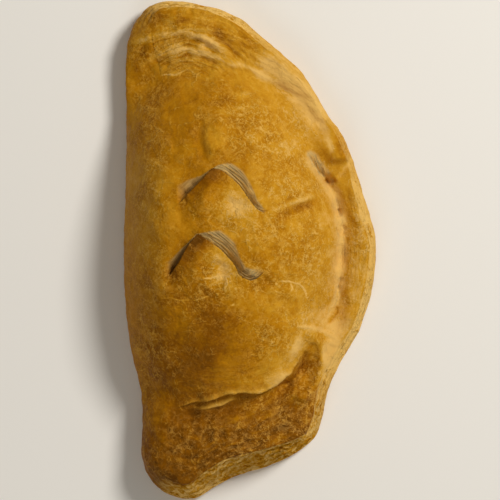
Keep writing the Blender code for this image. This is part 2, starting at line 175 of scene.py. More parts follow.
# Folds of the lid: path, rise (a groove is negative), half width, browning (paler is negative).
# Where a groove is made browner, that is partly glaze pooled in it and partly painted shade
FOLDS = (
    # the seal between dome and brim
    (((18.8, 35.2), (27.0, 27.0), (32.2, 17.7), (34.1, 10.6), (34.4, 6.0), (33.7, -0.2), (33.5, -5.4),
      (32.9, -10.6), (32.3, -17.2), (31.0, -22.4), (29.0, -28.3)), -2.2, 2.4, -0.22),
    (((33.2, 15.0), (34.2, 9.0), (34.2, 3.0), (33.6, -4.0), (33.2, -11.0), (32.4, -17.0)), -0.3, 1.5, -0.46),
    # the crack that runs down out of the seal, and short gaps along the seal
    (((32.3, -20.0), (32.1, -23.4), (30.7, -25.7), (29.0, -28.1)), -1.2, 0.45, 0.4),
    (((33.6, -9.6), (33.0, -12.2), (32.4, -15.0)), -1.0, 0.45, 0.25),
    (((33.2, 15.6), (33.4, 13.6), (33.0, 12.0)), -1.0, 0.6, 0.15),
    (((34.4, 9.6), (34.8, 7.6), (34.2, 5.6)), -1.0, 0.6, 0.15),
    # the puffed crest of the brim
    (((36.6, 27.3), (38.7, 21.0), (40.2, 14.0), (41.4, 7.0), (41.8, 1.0), (41.4, -5.8), (40.2, -12.0),
      (39.0, -16.9), (36.0, -27.0), (32.0, -37.0)), 1.7, 3.2, 0.0),
    # the seal's upper reach, the lobe of the brim beside it, and the pale grooves along that lobe
    (((4.7, 62.3), (14.7, 58.2), (19.9, 53.4), (24.4, 47.4), (28.5, 40.7)), -0.9, 2.2, -0.05),
    (((27.5, 46.0), (31.5, 38.0), (33.0, 31.0)), 3.0, 4.4, 0.0),
    (((25.0, 50.0), (27.6, 46.0), (29.6, 41.0), (31.2, 35.4)), -0.4, 1.1, -0.4),
    (((39.1, 35.7), (37.2, 32.8), (34.9, 29.8), (32.9, 26.9), (32.0, 25.6)), -0.8, 1.0, -0.24),
    # the gusset beside the lobe: its pale ridge, its crease and the notch at its foot
    (((18.4, 35.5), (22.9, 31.4), (26.2, 27.3), (30.4, 23.6)), -0.8, 2.4, 0.0),
    (((18.6, 35.6), (21.2, 32.6), (24.2, 29.0), (27.0, 25.1), (29.6, 21.5), (31.4, 18.0)), 1.3, 1.1, -0.24),
    (((20.6, 35.6), (23.4, 32.0), (26.2, 28.2), (28.6, 24.8), (30.4, 22.4)), -1.2, 0.8, 0.0),
    (((19.9, 36.4), (22.4, 34.9), (24.7, 32.7)), -0.9, 2.0, -0.1),
    (((27.8, 26.4), (29.2, 25.0), (30.6, 25.0), (32.0, 26.2)), -1.8, 0.8, 0.2),
    # the ridge and valley running from the first vent to the seal
    (((6.8, 13.4), (11.0, 15.0), (15.1, 16.9), (20.9, 19.0), (25.1, 20.6)), 0.7, 1.0, -0.32),
    (((8.0, 11.4), (13.4, 13.4), (17.9, 15.4), (21.6, 16.8), (26.2, 18.2)), -1.1, 1.9, 0.24),
    # the raised blister above the first vent, and the hollow that parts it from the first vent
    (((-8.0, 49.0), (-11.0, 42.0), (-10.0, 35.0)), 1.2, 5.5, -0.04),
    (((-17.5, 52.0), (-18.6, 45.0), (-18.4, 38.0), (-17.0, 32.0)), -0.5, 2.4, 0.06),
    # the flaps' crests, and the hollows beside them
    (((-13.4, 28.8), (-15.4, 22.3), (-18.0, 14.5), (-20.6, 10.0)), 1.0, 2.6, 0.0),
    (((-21.5, 23.0), (-24.5, 15.0), (-25.5, 7.0)), -0.8, 3.2, 0.0),
    (((-5.0, 20.0), (-7.5, 13.0), (-11.0, 6.0)), -0.9, 3.4, -0.16),
    (((-18.9, 5.0), (-19.3, -0.2), (-21.2, -6.7), (-23.5, -12.0)), 1.0, 2.6, 0.0),
    (((-25.5, -1.0), (-27.8, -9.0), (-28.5, -16.0)), -0.9, 3.2, 0.06),
    (((-9.5, -4.5), (-11.5, -10.0), (-14.0, -15.0)), -0.9, 3.4, -0.16),
    (((-1.0, -16.0), (3.0, -14.5), (8.0, -11.0)), -0.8, 3.0, 0.1),
    # wrinkles round the narrow end
    (((-44.7, 75.7), (-40.8, 77.7), (-36.2, 78.8), (-31.7, 79.7), (-26.4, 80.4), (-21.2, 80.0), (-16.0, 78.3),
      (-11.4, 75.2), (-7.5, 72.0)), 0.45, 1.0, -0.2),
    (((-45.4, 71.3), (-41.5, 74.2), (-36.9, 76.5), (-30.4, 77.9), (-24.5, 78.3), (-18.0, 76.8),
      (-12.7, 74.2)), -0.5, 1.0, 0.1),
    (((-43.1, 66.4), (-39.5, 69.0), (-35.6, 71.6), (-30.4, 73.4), (-23.8, 74.2), (-18.0, 72.9), (-12.7, 71.4),
      (-6.2, 70.3)), 0.4, 0.9, -0.22),
    (((-42.8, 64.1), (-37.5, 68.0), (-32.3, 70.9), (-25.8, 72.2), (-20.6, 71.6), (-15.4, 70.3), (-10.1, 69.3),
      (-3.6, 68.5)), -0.4, 0.9, 0.1),
    (((-11.4, 69.3), (-6.2, 68.3), (-1.0, 67.7), (3.6, 65.7), (8.1, 62.8), (10.7, 60.2)), 0.45, 1.0, -0.26),
    (((-41.5, 66.8), (-30.3, 72.4), (-20.0, 74.3), (-8.7, 71.6)), -0.8, 2.8, 0.0),
    # the deep crease of the narrow end, the ridge beside it, and two short creases at the very end
    (((-14.7, 82.6), (-12.7, 80.1), (-10.1, 77.5), (-6.9, 74.2), (-3.4, 70.4)), -1.6, 1.6, 0.16),
    (((-19.3, 79.7), (-15.4, 77.5), (-11.4, 75.2), (-8.2, 72.6)), 0.5, 1.3, -0.2),
    (((-27.4, 89.6), (-27.2, 85.6)), -0.35, 0.9, 0.14),
    (((-22.2, 89.6), (-21.2, 85.6)), -0.3, 0.9, 0.14),
    # the long crease down the narrow end's sealed side, under its pale band, whose paleness is partly a
    # painted highlight
    (((2.3, 67.0), (6.8, 64.1), (9.4, 60.8), (14.0, 59.2), (18.6, 57.2), (23.8, 54.3), (29.0, 51.0)),
     -0.5, 0.9, 0.08),
    (((-1.0, 67.0), (3.6, 65.1), (8.1, 62.5), (11.4, 60.5), (16.0, 59.8), (20.5, 56.9)), 0.35, 1.3, -0.2),
    # the pale margin beside that crease, partly pale crust and partly a painted sheen
    (((2.0, 73.5), (7.6, 69.0), (13.2, 63.8), (18.8, 58.6), (24.4, 52.6), (28.1, 46.3)), 0.2, 3.0, -0.6),
    # the pleat: a valley behind the lip, a rounded ridge round it, and a hollow outside
    (((21.4, -37.2), (20.6, -40.4), (19.2, -43.7), (17.0, -47.0), (14.0, -49.8), (8.0, -52.8)),
     -4.3, 2.1, 0.12),
    (((17.3, -28.9), (20.5, -29.4), (24.1, -31.5), (26.4, -35.4), (27.0, -40.0), (26.5, -44.6), (24.6, -49.1),
      (20.6, -53.1), (16.0, -55.7), (12.0, -57.1)), 3.6, 2.6, 0.04),
    (((28.9, -34.1), (29.3, -39.4), (29.0, -44.6), (28.0, -48.5)), -1.5, 1.8, -0.3),
    # pale bands along the top of that ridge and along the lip
    (((16.9, -28.3), (19.9, -28.1), (23.8, -28.7), (27.7, -30.2), (30.7, -32.2), (32.3, -34.1)),
     0.7, 0.8, -0.4),
    (((17.4, -28.6), (17.8, -32.6), (16.8, -36.8), (13.8, -41.6), (9.6, -46.8), (4.0, -49.6)),
     0.4, 1.9, -0.36),
    # pale facets down in the pleat's valley
    (((18.6, -45.2), (16.6, -48.8), (15.3, -50.8)), 0.8, 0.9, -0.26),
    (((13.4, -49.0), (16.3, -47.3)), 0.5, 0.8, -0.12),
    # the valley left of the pleat, under the dome's lip
    (((-33.0, -61.6), (-22.0, -61.2), (-11.0, -58.8), (1.0, -54.6)), -2.0, 2.6, 0.1),
)

# Fans of fine wrinkles: middle, half width, half length, turn in degrees, middle of the arcs they follow,
# spacing, length, rise, paleness of the crests, strength of the strands drawn along them
WRINKLES = (
    # across the narrow end
    ((-23.0, 74.0), 21.0, 9.0, 0, (-22.5, 54.0), 1.9, 9.0, 0.5, 0.24, 1.1),
    # down the sealed margin of the narrow end
    ((14.0, 65.0), 8.0, 24.0, 52, (-30.0, 0.0), 1.8, 16.0, 0.35, 0.16, 0.8),
    # along the brim
    ((42.0, 4.0), 5.0, 34.0, 0, (-30.0, 0.0), 1.7, 14.0, 0.3, 0.12, 0.8),
    # along the foot of the dome, above the lip
    ((-4.0, -46.0), 26.0, 6.0, 8, (-10.0, 10.0), 2.2, 12.0, 0.25, 0.1, 0.3),
    # over the broad end
    ((-6.0, -70.0), 36.0, 12.0, 8, (-30.0, 60.0), 2.4, 6.0, 0.45, 0.14, 0.1),
)

# Areas where the glaze has split into flakes: middle, half width, half length, turn in degrees, strength
FLAKY = (
    ((-6.0, -71.0), 40.0, 14.0, 8, 0.58),
    ((0.0, 46.0), 16.0, 11.0, -20, 0.8),
    ((-24.0, 76.0), 20.0, 9.0, 0, 0.45),
    ((-6.0, 12.0), 12.0, 9.0, 0, 0.5),
    ((12.0, 4.0), 16.0, 16.0, 0, 0.35),
    ((-12.0, -12.0), 24.0, 8.0, 0, 0.55),
    ((-36.0, 30.0), 8.0, 36.0, 0, 0.5),
    ((24.0, -46.0), 8.0, 12.0, 0, 0.6),
    ((-38.0, -40.0), 6.0, 24.0, 0, 0.4),
    ((15.0, 22.0), 13.0, 14.0, 0, 0.5),
    ((22.0, -2.0), 12.0, 14.0, 0, 0.4),
    ((12.0, -28.0), 14.0, 12.0, 0, 0.4),
    ((41.0, 0.0), 4.0, 40.0, 0, 0.4),
)

# Fine cracks in the glaze, where pale dough shows: path, half width, strength
CRACKS = (
    (((-18.0, -10.3), (-12.7, -10.0), (-9.8, -9.5), (-6.9, -10.1)), 0.22, 0.6),
    (((-34.9, -17.0), (-30.4, -17.8), (-23.8, -18.5), (-17.3, -17.5), (-12.7, -15.9)), 0.2, 0.5),
    (((9.4, -11.8), (12.1, -11.2), (14.7, -11.4), (18.3, -12.9), (20.2, -15.5), (20.7, -19.1)), 0.22, 0.6),
    (((9.8, -11.9), (8.9, -14.2), (9.4, -15.9)), 0.24, 0.7),
    (((-9.2, -22.7), (-7.5, -20.4), (-5.2, -19.1)), 0.3, 0.6),
    (((-14.0, -25.3), (-14.2, -28.3), (-13.9, -31.2)), 0.24, 0.6),
    (((-34.3, 64.1), (-31.0, 64.9), (-27.1, 65.1), (-23.8, 66.7), (-20.6, 67.7)), 0.3, 0.6),
    (((14.7, -11.4), (15.4, -13.6), (14.6, -15.6)), 0.24, 0.6),
    (((17.6, -12.4), (18.6, -11.0), (20.4, -10.4)), 0.24, 0.6),
    (((-9.8, -9.5), (-8.6, -11.6), (-9.0, -13.2)), 0.22, 0.6),
    (((-24.6, -18.4), (-23.2, -20.4), (-23.6, -22.6)), 0.22, 0.5),
)

# Crust lapping over crust, raised on the left of its path: path, height, decay, softness, overhang, paleness
LAPS = (
    # the dome's lip over the broad end
    (((-30.0, -58.9), (-27.8, -58.0), (-22.5, -56.5), (-18.0, -55.5), (-12.7, -54.0), (-7.5, -52.8),
      (-2.3, -52.1), (2.3, -52.4), (6.8, -51.1), (10.7, -48.8), (14.0, -45.4), (17.3, -41.4), (19.9, -38.2),
      (21.8, -35.8)), 2.6, 7.0, 0.3, 0.9, 0.3),
    # a leaf of dough that shows below the lip
    (((-20.6, -58.9), (-16.7, -58.5), (-11.4, -57.1), (-6.2, -55.5), (-3.3, -54.5)), 1.0, 1.6, 0.3, 0.3, 0.5),
    # the left edge of the blister above the first vent
    (((-15.4, 51.0), (-16.1, 45.8), (-16.5, 41.2), (-16.1, 36.7), (-14.4, 33.7), (-11.4, 30.8)),
     1.4, 8.0, 2.1, 0.0, 0.06),
)

# Unglazed dough, dull and greyish, that shows in the seal and the gusset: path, half width, strength
UNGLAZED = (
    (((30.6, 21.4), (32.5, 16.3), (33.7, 11.0), (33.9, 5.7), (34.3, 0.3), (33.8, -5.0)), 1.2, 0.45),
    (((33.4, -8.0), (32.8, -13.0), (31.6, -19.0), (30.0, -25.0)), 0.9, 0.5),
    (((20.8, 36.8), (23.2, 34.2), (26.2, 30.4), (29.0, 26.4)), 1.2, 0.9),
    (((28.4, 26.0), (29.8, 24.8), (31.6, 25.4)), 0.9, 0.4),
)

# Snipped vents. Openings and depths run from each arm's end to the tip
VENTS = (
    {
        "left": ((-26.4, 16.6), (-23.2, 19.1), (-18.0, 24.3), (-13.6, 29.2)),
        "right": ((-10.1, 28.0), (-4.9, 23.6), (-1.6, 19.1), (1.0, 15.8), (4.2, 13.8), (6.4, 14.0)),
        "left_opening": (0.8, 5.8, 4.6, 2.0, 0.6),
        "left_depth": (0.0, 3.2, 3.0, 1.6, 0.8),
        "right_opening": (1.4, 2.6, 3.6, 4.4, 5.6, 5.2, 0.8),
        "right_depth": (0.0, 3.0, 4.8, 4.8, 4.4, 3.6, 1.0),
        "lift": 3.4,
        "burnt": 0.4,
        "lean": (-0.25, -1.0),
    },
    {
        "left": ((-30.6, -10.2), (-27.8, -8.0), (-25.1, -4.4), (-22.6, 0.4), (-19.0, 5.2)),
        "right": ((-15.4, 2.8), (-11.4, -0.2), (-9.2, -2.4), (-6.2, -5.9), (-4.4, -9.5), (-0.3, -11.6),
                  (3.2, -10.0), (5.5, -7.2)),
        "left_opening": (0.6, 4.4, 3.2, 1.5, 0.9),
        "left_depth": (0.0, 3.4, 3.0, 1.6, 0.8),
        "right_opening": (2.4, 5.4, 4.8, 3.8, 6.4, 6.6, 1.0),
        "right_depth": (0.0, 2.8, 4.8, 4.8, 4.6, 3.6, 1.0),
        "lift": 3.8,
        "burnt": 0.62,
        "lean": (-0.2, -1.0),
    },
)

# The flaps: size of the lifted tongue, curl and overhang of its edge, and how far its burnt parts reach.
# Down each flap's left flank, away from the key light, that browning is partly painted shade
TONGUE_WIDTH = 10.0
TONGUE_LENGTH = 17.0
EDGE_CURL = 0.9
CURL_REACH = 2.6
TONGUE_OVERHANG = 0.8
OVERHANG_REACH = 1.6
BURNT_REACH = 5.0
BURNT_AND_SHADED_FLANK = 0.34
BURNT_AND_SHADED_FLANK_REACH = 7.0

# The leaves in a vent's wall: height, waves in radians for each millimetre, and their shift along the snip
WALL_LEAVES = (0.12, 7.0, 9.0)

# Added to the walls' grain, so that their fibres aren't those of the edge
WALL_GRAIN = 300.0

# Noise on the lid: size, height, seed; the first two also shape the solid
LUMPS = ((26.0, 1.1, 3.0), (9.0, 0.55, 11.0), (14.0, 0.9, 19.0), (5.0, 0.4, 31.0), (2.2, 0.16, 47.0))
EDGE_WAVE = (7.0, 0.45, 23.0)
WANDER = ((11.0, 0.8, 71.0), (4.5, 0.5, 83.0), (1.7, 0.25, 93.0))
FLAKE_SHEETS = ((5.0, 0.28, 101.0), (2.8, 0.22, 113.0), (1.8, 0.14, 127.0))
UNEVEN = (6.5, 0.8, 131.0)

# Noise on the cut edge: size, strength, seed; LEAF_APART parts the leaves in it
LEAF_DRIFT = ((19.0, 0.4, 57.0), (4.5, 0.2, 59.0))
LEAF_RAGS = (9.0, 1.0, 61.0)
LEAF_NICKS = (1.7, 1.0, 67.0)
LEAF_APART = 7.0
GRAIN_WAVE = (8.0, 1.3, 73.0)
GRAIN_RIPPLE = (2.6, 0.4, 79.0)
GLAZE_TORN = (4.0, 1.0, 63.0)
FACE_ROUGH = ((4.0, 0.35, 91.0), (1.7, 0.15, 95.0))

# Added to a seed for the second direction of a wander
SECOND_SEED = 5.0

# Flakiness that the whole crust has
LEAST_FLAKY = 0.1

# A patch fainter than this is left out
FAINT = 0.02

# A drawn line is looked up to this many half widths away, and further by the reach of its wander
FADED = 3.5
WANDER_REACH = 2.5

# Steps from point to point of a drawn line, of a snip, and of a line along which cells are halved
LINE_STEPS = 5
SNIP_STEPS = 6
HALVING_STEPS = 4

# How far cells are halved to each side of a snip, a lap, a sharp fold and a crack
SNIP_FINE = 2.6
LAP_FINE = 1.8
FOLD_FINE = 1.4
CRACK_FINE = 1.0

# A fold is sharp below this half width
SHARP_FOLD = 0.9

# The grid's rim, as a share of the way out from its middle
GRID_RIM = 0.9999

# Browner or paler areas of the glaze: middle, half width, half length, turn in degrees, browning.
# Some rows are partly painted light and shade, as marked
PATCHES = (
    # these two are partly painted light: the east side paler towards the key light, the lower left browner as
    # painted shade
    ((34.0, 5.0), 22.0, 60.0, 0, -0.1),
    ((-30.0, -30.0), 26.0, 34.0, 10, 0.16),
    ((-22.0, -46.0), 20.0, 10.0, 10, 0.1),
    ((-6.0, -74.0), 46.0, 19.0, 8, 0.51),
    ((-31.0, 46.0), 12.0, 16.0, 0, 0.14),
    ((-8.0, 55.0), 12.0, 4.0, 10, 0.1),
    ((-12.8, -26.2), 9.0, 8.0, 30, 0.12),
    ((-16.0, -38.0), 10.0, 5.0, 30, 0.1),
    ((22.6, -59.5), 5.0, 4.0, 0, 0.12),
    ((34.6, 37.6), 2.4, 6.5, 22, 0.26),
    ((36.6, 16.0), 2.2, 12.0, -8, 0.06),
    ((37.8, -5.0), 2.4, 12.0, 6, 0.04),
    ((41.6, 14.0), 1.6, 16.0, -8, -0.12),
    ((22.0, 47.0), 8.0, 9.0, 30, -0.1),
    ((13.0, 24.0), 8.0, 4.0, 15, -0.14),
    ((-3.0, 57.0), 3.5, 2.0, 0, -0.16),
    ((-9.0, 50.0), 3.0, 2.0, 0, -0.1),
    ((18.0, 66.0), 8.0, 20.0, 48, -0.14),
    # the flaps' right flanks, paler partly as painted light where they face the key light
    ((-3.5, 16.5), 4.4, 8.0, 25, -0.34),
    ((-10.5, -5.5), 4.0, 8.0, 30, -0.34),
    ((8.0, -42.0), 6.0, 12.0, -40, -0.12),
    ((-4.0, -48.0), 12.0, 3.5, 8, -0.12),
    ((-35.0, 86.6), 4.0, 2.8, 0, 0.26),
    ((-24.7, 85.4), 3.2, 3.2, 0, 0.28),
    ((-10.8, 79.0), 2.2, 5.0, 35, 0.3),
    ((-1.5, 77.0), 3.4, 5.0, 35, 0.2),
    ((-6.6, 74.2), 1.5, 3.4, 40, 0.26),
    ((8.0, -71.0), 13.0, 5.0, 12, -0.14),
    ((19.0, 52.0), 6.0, 12.0, 45, -0.12),
    ((-15.0, 77.0), 6.0, 2.4, -20, -0.2),
    ((-39.4, 77.5), 3.0, 1.4, 0, -0.24),
    ((-38.0, 73.4), 4.0, 1.6, 30, 0.18),
    ((-42.4, 67.0), 1.6, 3.4, 0, 0.18),
    ((26.0, -26.0), 9.0, 5.0, -20, -0.2),
    ((18.6, -45.4), 3.4, 7.5, -28, 0.22),
    ((-30.0, -88.0), 12.0, 7.0, 0, 0.3),
    ((-39.0, 6.0), 10.0, 26.0, 0, -0.1),
    ((14.0, -66.0), 16.0, 10.0, 0, 0.12),
    ((20.0, 10.0), 12.0, 16.0, 0, 0.07),
    ((10.0, -4.0), 8.0, 8.0, 0, 0.08),
    ((31.4, -35.0), 3.2, 10.0, -12, -0.34),
    ((14.5, 37.5), 5.0, 4.0, 0, -0.2),
    ((33.5, -2.0), 3.0, 14.0, 0, -0.16),
    ((-22.0, 22.0), 4.0, 7.0, -20, 0.14),
    ((-26.0, -6.0), 4.0, 8.0, -20, 0.14),
)


# Curves and fields

def smooth_path(points, steps, closed=False):
    """A Catmull-Rom curve through the points, which may have any number of columns."""
    points = np.array(points, float)
    if closed:
        points = np.vstack([points[-1:], points, points[:2]])
    else:
        points = np.vstack([2 * points[0] - points[1], points, 2 * points[-1] - points[-2]])
    t = np.linspace(0.0, 1.0, steps, endpoint=False)[:, None]
    spans = []
    for a, b, c, d in zip(points[:-3], points[1:-2], points[2:-1], points[3:]):
        spans.append(
            0.5 * (2 * b + (c - a) * t + (2 * a - 5 * b + 4 * c - d) * t**2 + (3 * b - a - 3 * c + d) * t**3)
        )
    curve = np.vstack(spans)
    return curve if closed else np.vstack([curve, points[-2:-1]])


def beside(path, x, y):
    """(distance to the left of the path, share of its length, unit x, unit y to the left) for each point."""
    start, end = path[:-1], path[1:]
    run = end - start
    length = np.hypot(run[:, 0], run[:, 1])
    before = np.concatenate([[0.0], np.cumsum(length)])
    dx = x[:, None] - start[:, 0]
    dy = y[:, None] - start[:, 1]
    share = np.clip((dx * run[:, 0] + dy * run[:, 1]) / length**2, 0.0, 1.0)
    away = np.hypot(dx - share * run[:, 0], dy - share * run[:, 1])
    nearest = away.argmin(1)
    rows = np.arange(len(x))
    side = run[nearest, 0] * dy[rows, nearest] - run[nearest, 1] * dx[rows, nearest]
    distance = away[rows, nearest] * np.where(side < 0, -1.0, 1.0)
    fraction = (before[nearest] + share[rows, nearest] * length[nearest]) / before[-1]
    return distance, fraction, -run[nearest, 1] / length[nearest], run[nearest, 0] / length[nearest]


def near_path(path, x, y, reach):
    """Which points lie in the path's own box, widened by reach."""
    low, high = path.min(0) - reach, path.max(0) + reach
    return np.flatnonzero((x > low[0]) & (x < high[0]) & (y > low[1]) & (y < high[1]))


def smoothstep(low, high, value):
    t = np.clip((value - low) / (high - low), 0.0, 1.0)
    return t * t * (3 - 2 * t)


def fade_ends(share, length=0.2):
    """1 along a line, falling to 0 over a given share of its length at each end."""
    return smoothstep(0.0, length, share) * smoothstep(0.0, length, 1.0 - share)


def bell(value, half_width):
    return np.exp(-((value / half_width) ** 2))


def lumps(x, y, size, height, seed, z=None):
    """Smooth noise of a given size and height, in millimetres."""
    z = np.zeros_like(x) if z is None else z
    points = zip(x / size + seed, y / size - seed, z / size)
    return height * np.array([noise.noise(Vector(point)) for point in points])


def wander(x, y):
    """The points moved a little by noise, so that drawn folds run unevenly."""
    moved_x, moved_y = x.copy(), y.copy()
    for size, reach, seed in WANDER:
        moved_x += lumps(x, y, size, reach, seed)
        moved_y += lumps(x, y, size, reach, seed + SECOND_SEED)
    return moved_x, moved_y


def smooth_max(a, b, blend):
    return np.maximum(a, b) + blend * np.log1p(np.exp(-np.abs(a - b) / blend))


# Heights and browning of the lid

def dome(x, y, height):
    dx, dy = x - DOME_MIDDLE[0], y - DOME_MIDDLE[1]
    angle = np.degrees(np.arctan2(dy, dx)) % 360
    directions, reaches = np.array(DOME_REACH, float).T
    turned = [np.interp((angle + turn) % 360, directions, reaches) for turn in DOME_TURNS]
    share = np.hypot(dx, dy) / np.mean(turned, axis=0)
    return height * np.clip(1 - share**DOME_FULLNESS, 0.0, 1.0) ** DOME_SHOULDER


def lobe(x, y, place, height):
    (middle_x, middle_y), half_width, half_length = place
    spread = np.abs((x - middle_x) / half_width) ** 3 + np.abs((y - middle_y) / half_length) ** 3
    return height * np.clip(1 - spread, 0.0, 1.0) ** 0.5


def patch(x, y, middle, half_width, half_length, turn):
    """1 in the middle of a soft ellipse, falling to 0 outside it."""
    turn = math.radians(turn)
    dx, dy = x - middle[0], y - middle[1]
    across = (dx * math.cos(turn) + dy * math.sin(turn)) / half_width
    along = (dy * math.cos(turn) - dx * math.sin(turn)) / half_length
    return np.exp(-(across**2 + along**2))


def vent_path(vent):
    """The snip as one line whose tip stays sharp, the tip's share of its length, the tip, and its length."""
    tip = vent["left"][-1]
    left = smooth_path(vent["left"], SNIP_STEPS)
    right = smooth_path((tip,) + vent["right"], SNIP_STEPS)
    path = np.vstack([left, right[1:]])
    lengths = np.hypot(*np.diff(path, axis=0).T)
    return path, lengths[: len(left) - 1].sum() / lengths.sum(), np.array(tip), lengths.sum()


def along_table(values, along):
    return np.interp(along, np.linspace(0.0, 1.0, len(values)), values)


class Lid:
    """The lid at each place: height, sideways shift, and the marks that its colour is made from."""

    def __init__(self, x, y, grain, sizes):
        self.x, self.y = x, y
        self.grain = grain
        self.warped_x, self.warped_y = wander(x, y)
        self.uneven = np.clip(0.9 + lumps(x, y, *UNEVEN), 0.45, 1.3)
        self.height = smooth_max(dome(x, y, sizes.dome), np.full_like(x, sizes.brim), BLEND)
        self.height = smooth_max(self.height, lobe(x, y, SOUTH_LOBE, sizes.south_end), BLEND)
        self.height = smooth_max(self.height, lobe(x, y, NORTH_LOBE, sizes.north_end), BLEND)
        self.shift = np.zeros((len(x), 2))
        self.browning = np.zeros_like(x)
        self.dough = np.zeros_like(x)
        self.wall = np.zeros_like(x)
        self.flaky = np.full_like(x, LEAST_FLAKY)
        self.pleats = np.zeros_like(x)
        self.arcs = np.zeros((len(x), 3))
        for lump in LUMPS:
            self.height += lumps(x, y, *lump)
        for *area, browning in PATCHES:
            self.browning += browning * patch(self.warped_x, self.warped_y, *area)
        for *area, strength in FLAKY:
            self.flaky += strength * patch(self.warped_x, self.warped_y, *area)
        works = (self.flake, self.wrinkle, self.fold, self.crack, self.lap, self.unglazed)
        for work, rows in zip(works, (FLAKE_SHEETS, WRINKLES, FOLDS, CRACKS, LAPS, UNGLAZED)):
            for row in rows:
                work(*row)
        for vent in VENTS:
            self.snip(vent)

    def flake(self, size, rise, seed):
        """Thin sheets of skin, raised and a little paler, where the crust is flaky."""
        sheet = smoothstep(0.02, 0.13, lumps(self.warped_x, self.warped_y, size, 1.0, seed))
        flaky = np.clip(self.flaky, 0.0, 1.0)
        self.height += rise * sheet * flaky
        self.browning -= 0.25 * rise * (sheet - 0.4) * flaky

    def wrinkle(self, middle, half_width, half_length, turn, arcs, spacing, length, rise, paleness, strands):
        """Fine crests along arcs round a far point. Where two fans cross, the stronger one's arcs stay."""
        here = patch(self.x, self.y, middle, half_width, half_length, turn)
        rows = np.flatnonzero(here > FAINT)
        here = here[rows]
        dx, dy = self.warped_x[rows] - arcs[0], self.warped_y[rows] - arcs[1]
        radius = math.hypot(middle[0] - arcs[0], middle[1] - arcs[1])
        run = np.arctan2(dy, dx) * radius
        away = np.hypot(dx, dy)
        points = zip(run / length, away / spacing, np.full(len(rows), radius))
        crest = 1.0 - np.clip(3.0 * np.abs([noise.noise(Vector(point)) for point in points]), 0.0, 1.0)
        self.height[rows] += rise * (crest - 0.5) * here
        self.browning[rows] -= paleness * (crest - 0.45) * here
        stronger = strands * here > self.pleats[rows]
        self.pleats[rows] = np.maximum(self.pleats[rows], strands * here)
        self.arcs[rows[stronger]] = np.column_stack([run, np.full_like(run, radius), away])[stronger]

    def near_line(self, points, half_width):
        """The lid's points near a drawn line: their numbers, distance to its left, share of its length."""
        path = smooth_path(points, LINE_STEPS)
        rows = near_path(path, self.x, self.y, FADED * half_width + WANDER_REACH)
        distance, share, _, _ = beside(path, self.warped_x[rows], self.warped_y[rows])
        return rows, distance, share

    def fold(self, points, rise, half_width, browning):
        """A ridge or groove. The palest ones also show some dough."""
        rows, distance, share = self.near_line(points, half_width)
        shape = bell(distance, half_width) * fade_ends(share) * self.uneven[rows]
        self.height[rows] += rise * shape
        # A groove made browner here gets painted shade along with its pooled glaze
        self.browning[rows] += browning * shape
        if browning < -0.2:
            self.dough[rows] += 0.6 * shape * -browning

    def crack(self, points, half_width, strength):
        """A broken pale line, slightly raised."""
        rows, distance, share = self.near_line(points, half_width)
        broken = smoothstep(0.6, 1.0, self.uneven[rows])
        shape = bell(distance, half_width) * fade_ends(share) * broken
        self.height[rows] += 0.15 * shape
        self.browning[rows] -= strength * shape
        self.dough[rows] += 0.5 * strength * shape

    def unglazed(self, points, half_width, strength):
        """A band of dull dough with a firm edge."""
        rows, distance, share = self.near_line(points, half_width)
        width = half_width * (0.4 + self.uneven[rows])
        shape = smoothstep(1.4, 0.6, np.abs(distance) / width) * fade_ends(share, 0.15)
        self.wall[rows] += strength * shape
        self.browning[rows] += 0.08 * shape

    def lap(self, points, height, decay, softness, overhang, paleness):
        """A step up to the line's left that sinks away behind its pale, overhanging rim."""
        path = smooth_path(points, LINE_STEPS)
        rows = near_path(path, self.x, self.y, 5.0 * decay)
        over, share, left_x, left_y = beside(path, self.warped_x[rows], self.warped_y[rows])
        fade = fade_ends(share, 0.3) * np.clip(self.uneven[rows] + 0.25, 0.5, 1.2)
        raised = smoothstep(-softness, softness, over)
        self.height[rows] += height * np.exp(-np.clip(over, 0.0, None) / decay) * raised * fade
        reach = overhang * fade * smoothstep(1.8, 0.1, over) * raised
        self.shift[rows] -= np.column_stack([left_x, left_y]) * reach[:, None]
        rim = bell(over - 0.5, 0.8) * fade
        self.browning[rows] -= paleness * rim
        self.dough[rows] += 0.7 * paleness * rim

    def snip(self, vent):
        """Opens one vent: the flap below it curls up, and the far side shows a pale, layered wall."""
        path, tip_share, tip, path_length = vent_path(vent)
        outside, share, left_x, left_y = beside(path, self.x, self.y)
        left = share < tip_share
        along = np.where(left, share / tip_share, (1 - share) / (1 - tip_share))
        opened = smoothstep(0.0, 0.3, along)
        soft = 0.15 + 5.0 * (1 - opened)
        inside = smoothstep(soft, -soft, outside)
        lean = np.array(vent["lean"]) / np.hypot(*vent["lean"])
        down = (self.x - tip[0]) * lean[0] + (self.y - tip[1]) * lean[1]
        across = (self.x - tip[0]) * lean[1] - (self.y - tip[1]) * lean[0]
        away = np.hypot(across / TONGUE_WIDTH, down / TONGUE_LENGTH)
        self.height += vent["lift"] * np.exp(-(away**1.5)) * inside
        self.height += EDGE_CURL * (np.exp(-np.abs(outside) / CURL_REACH) * opened) * inside
        hang = TONGUE_OVERHANG * opened * smoothstep(-OVERHANG_REACH, -0.1, outside) * (outside < 0)
        self.shift += np.column_stack([left_x, left_y]) * hang[:, None]
        tables = [(vent["left_" + name], vent["right_" + name]) for name in ("opening", "depth")]
        opening, depth = (np.where(left, along_table(a, along), along_table(b, along)) for a, b in tables)
        wall = (outside >= 0) & (outside < opening)
        self.open_wall(wall, outside, share, opening, depth)
        shown = wall * smoothstep(0.0, np.where(left, 0.5, 0.15), along)
        shown = shown * smoothstep(1.0, 0.82, np.clip(outside / opening, 0.0, 1.0))
        self.wall = np.maximum(self.wall, shown * np.where(left, 0.55, 1.0))
        run = share * path_length
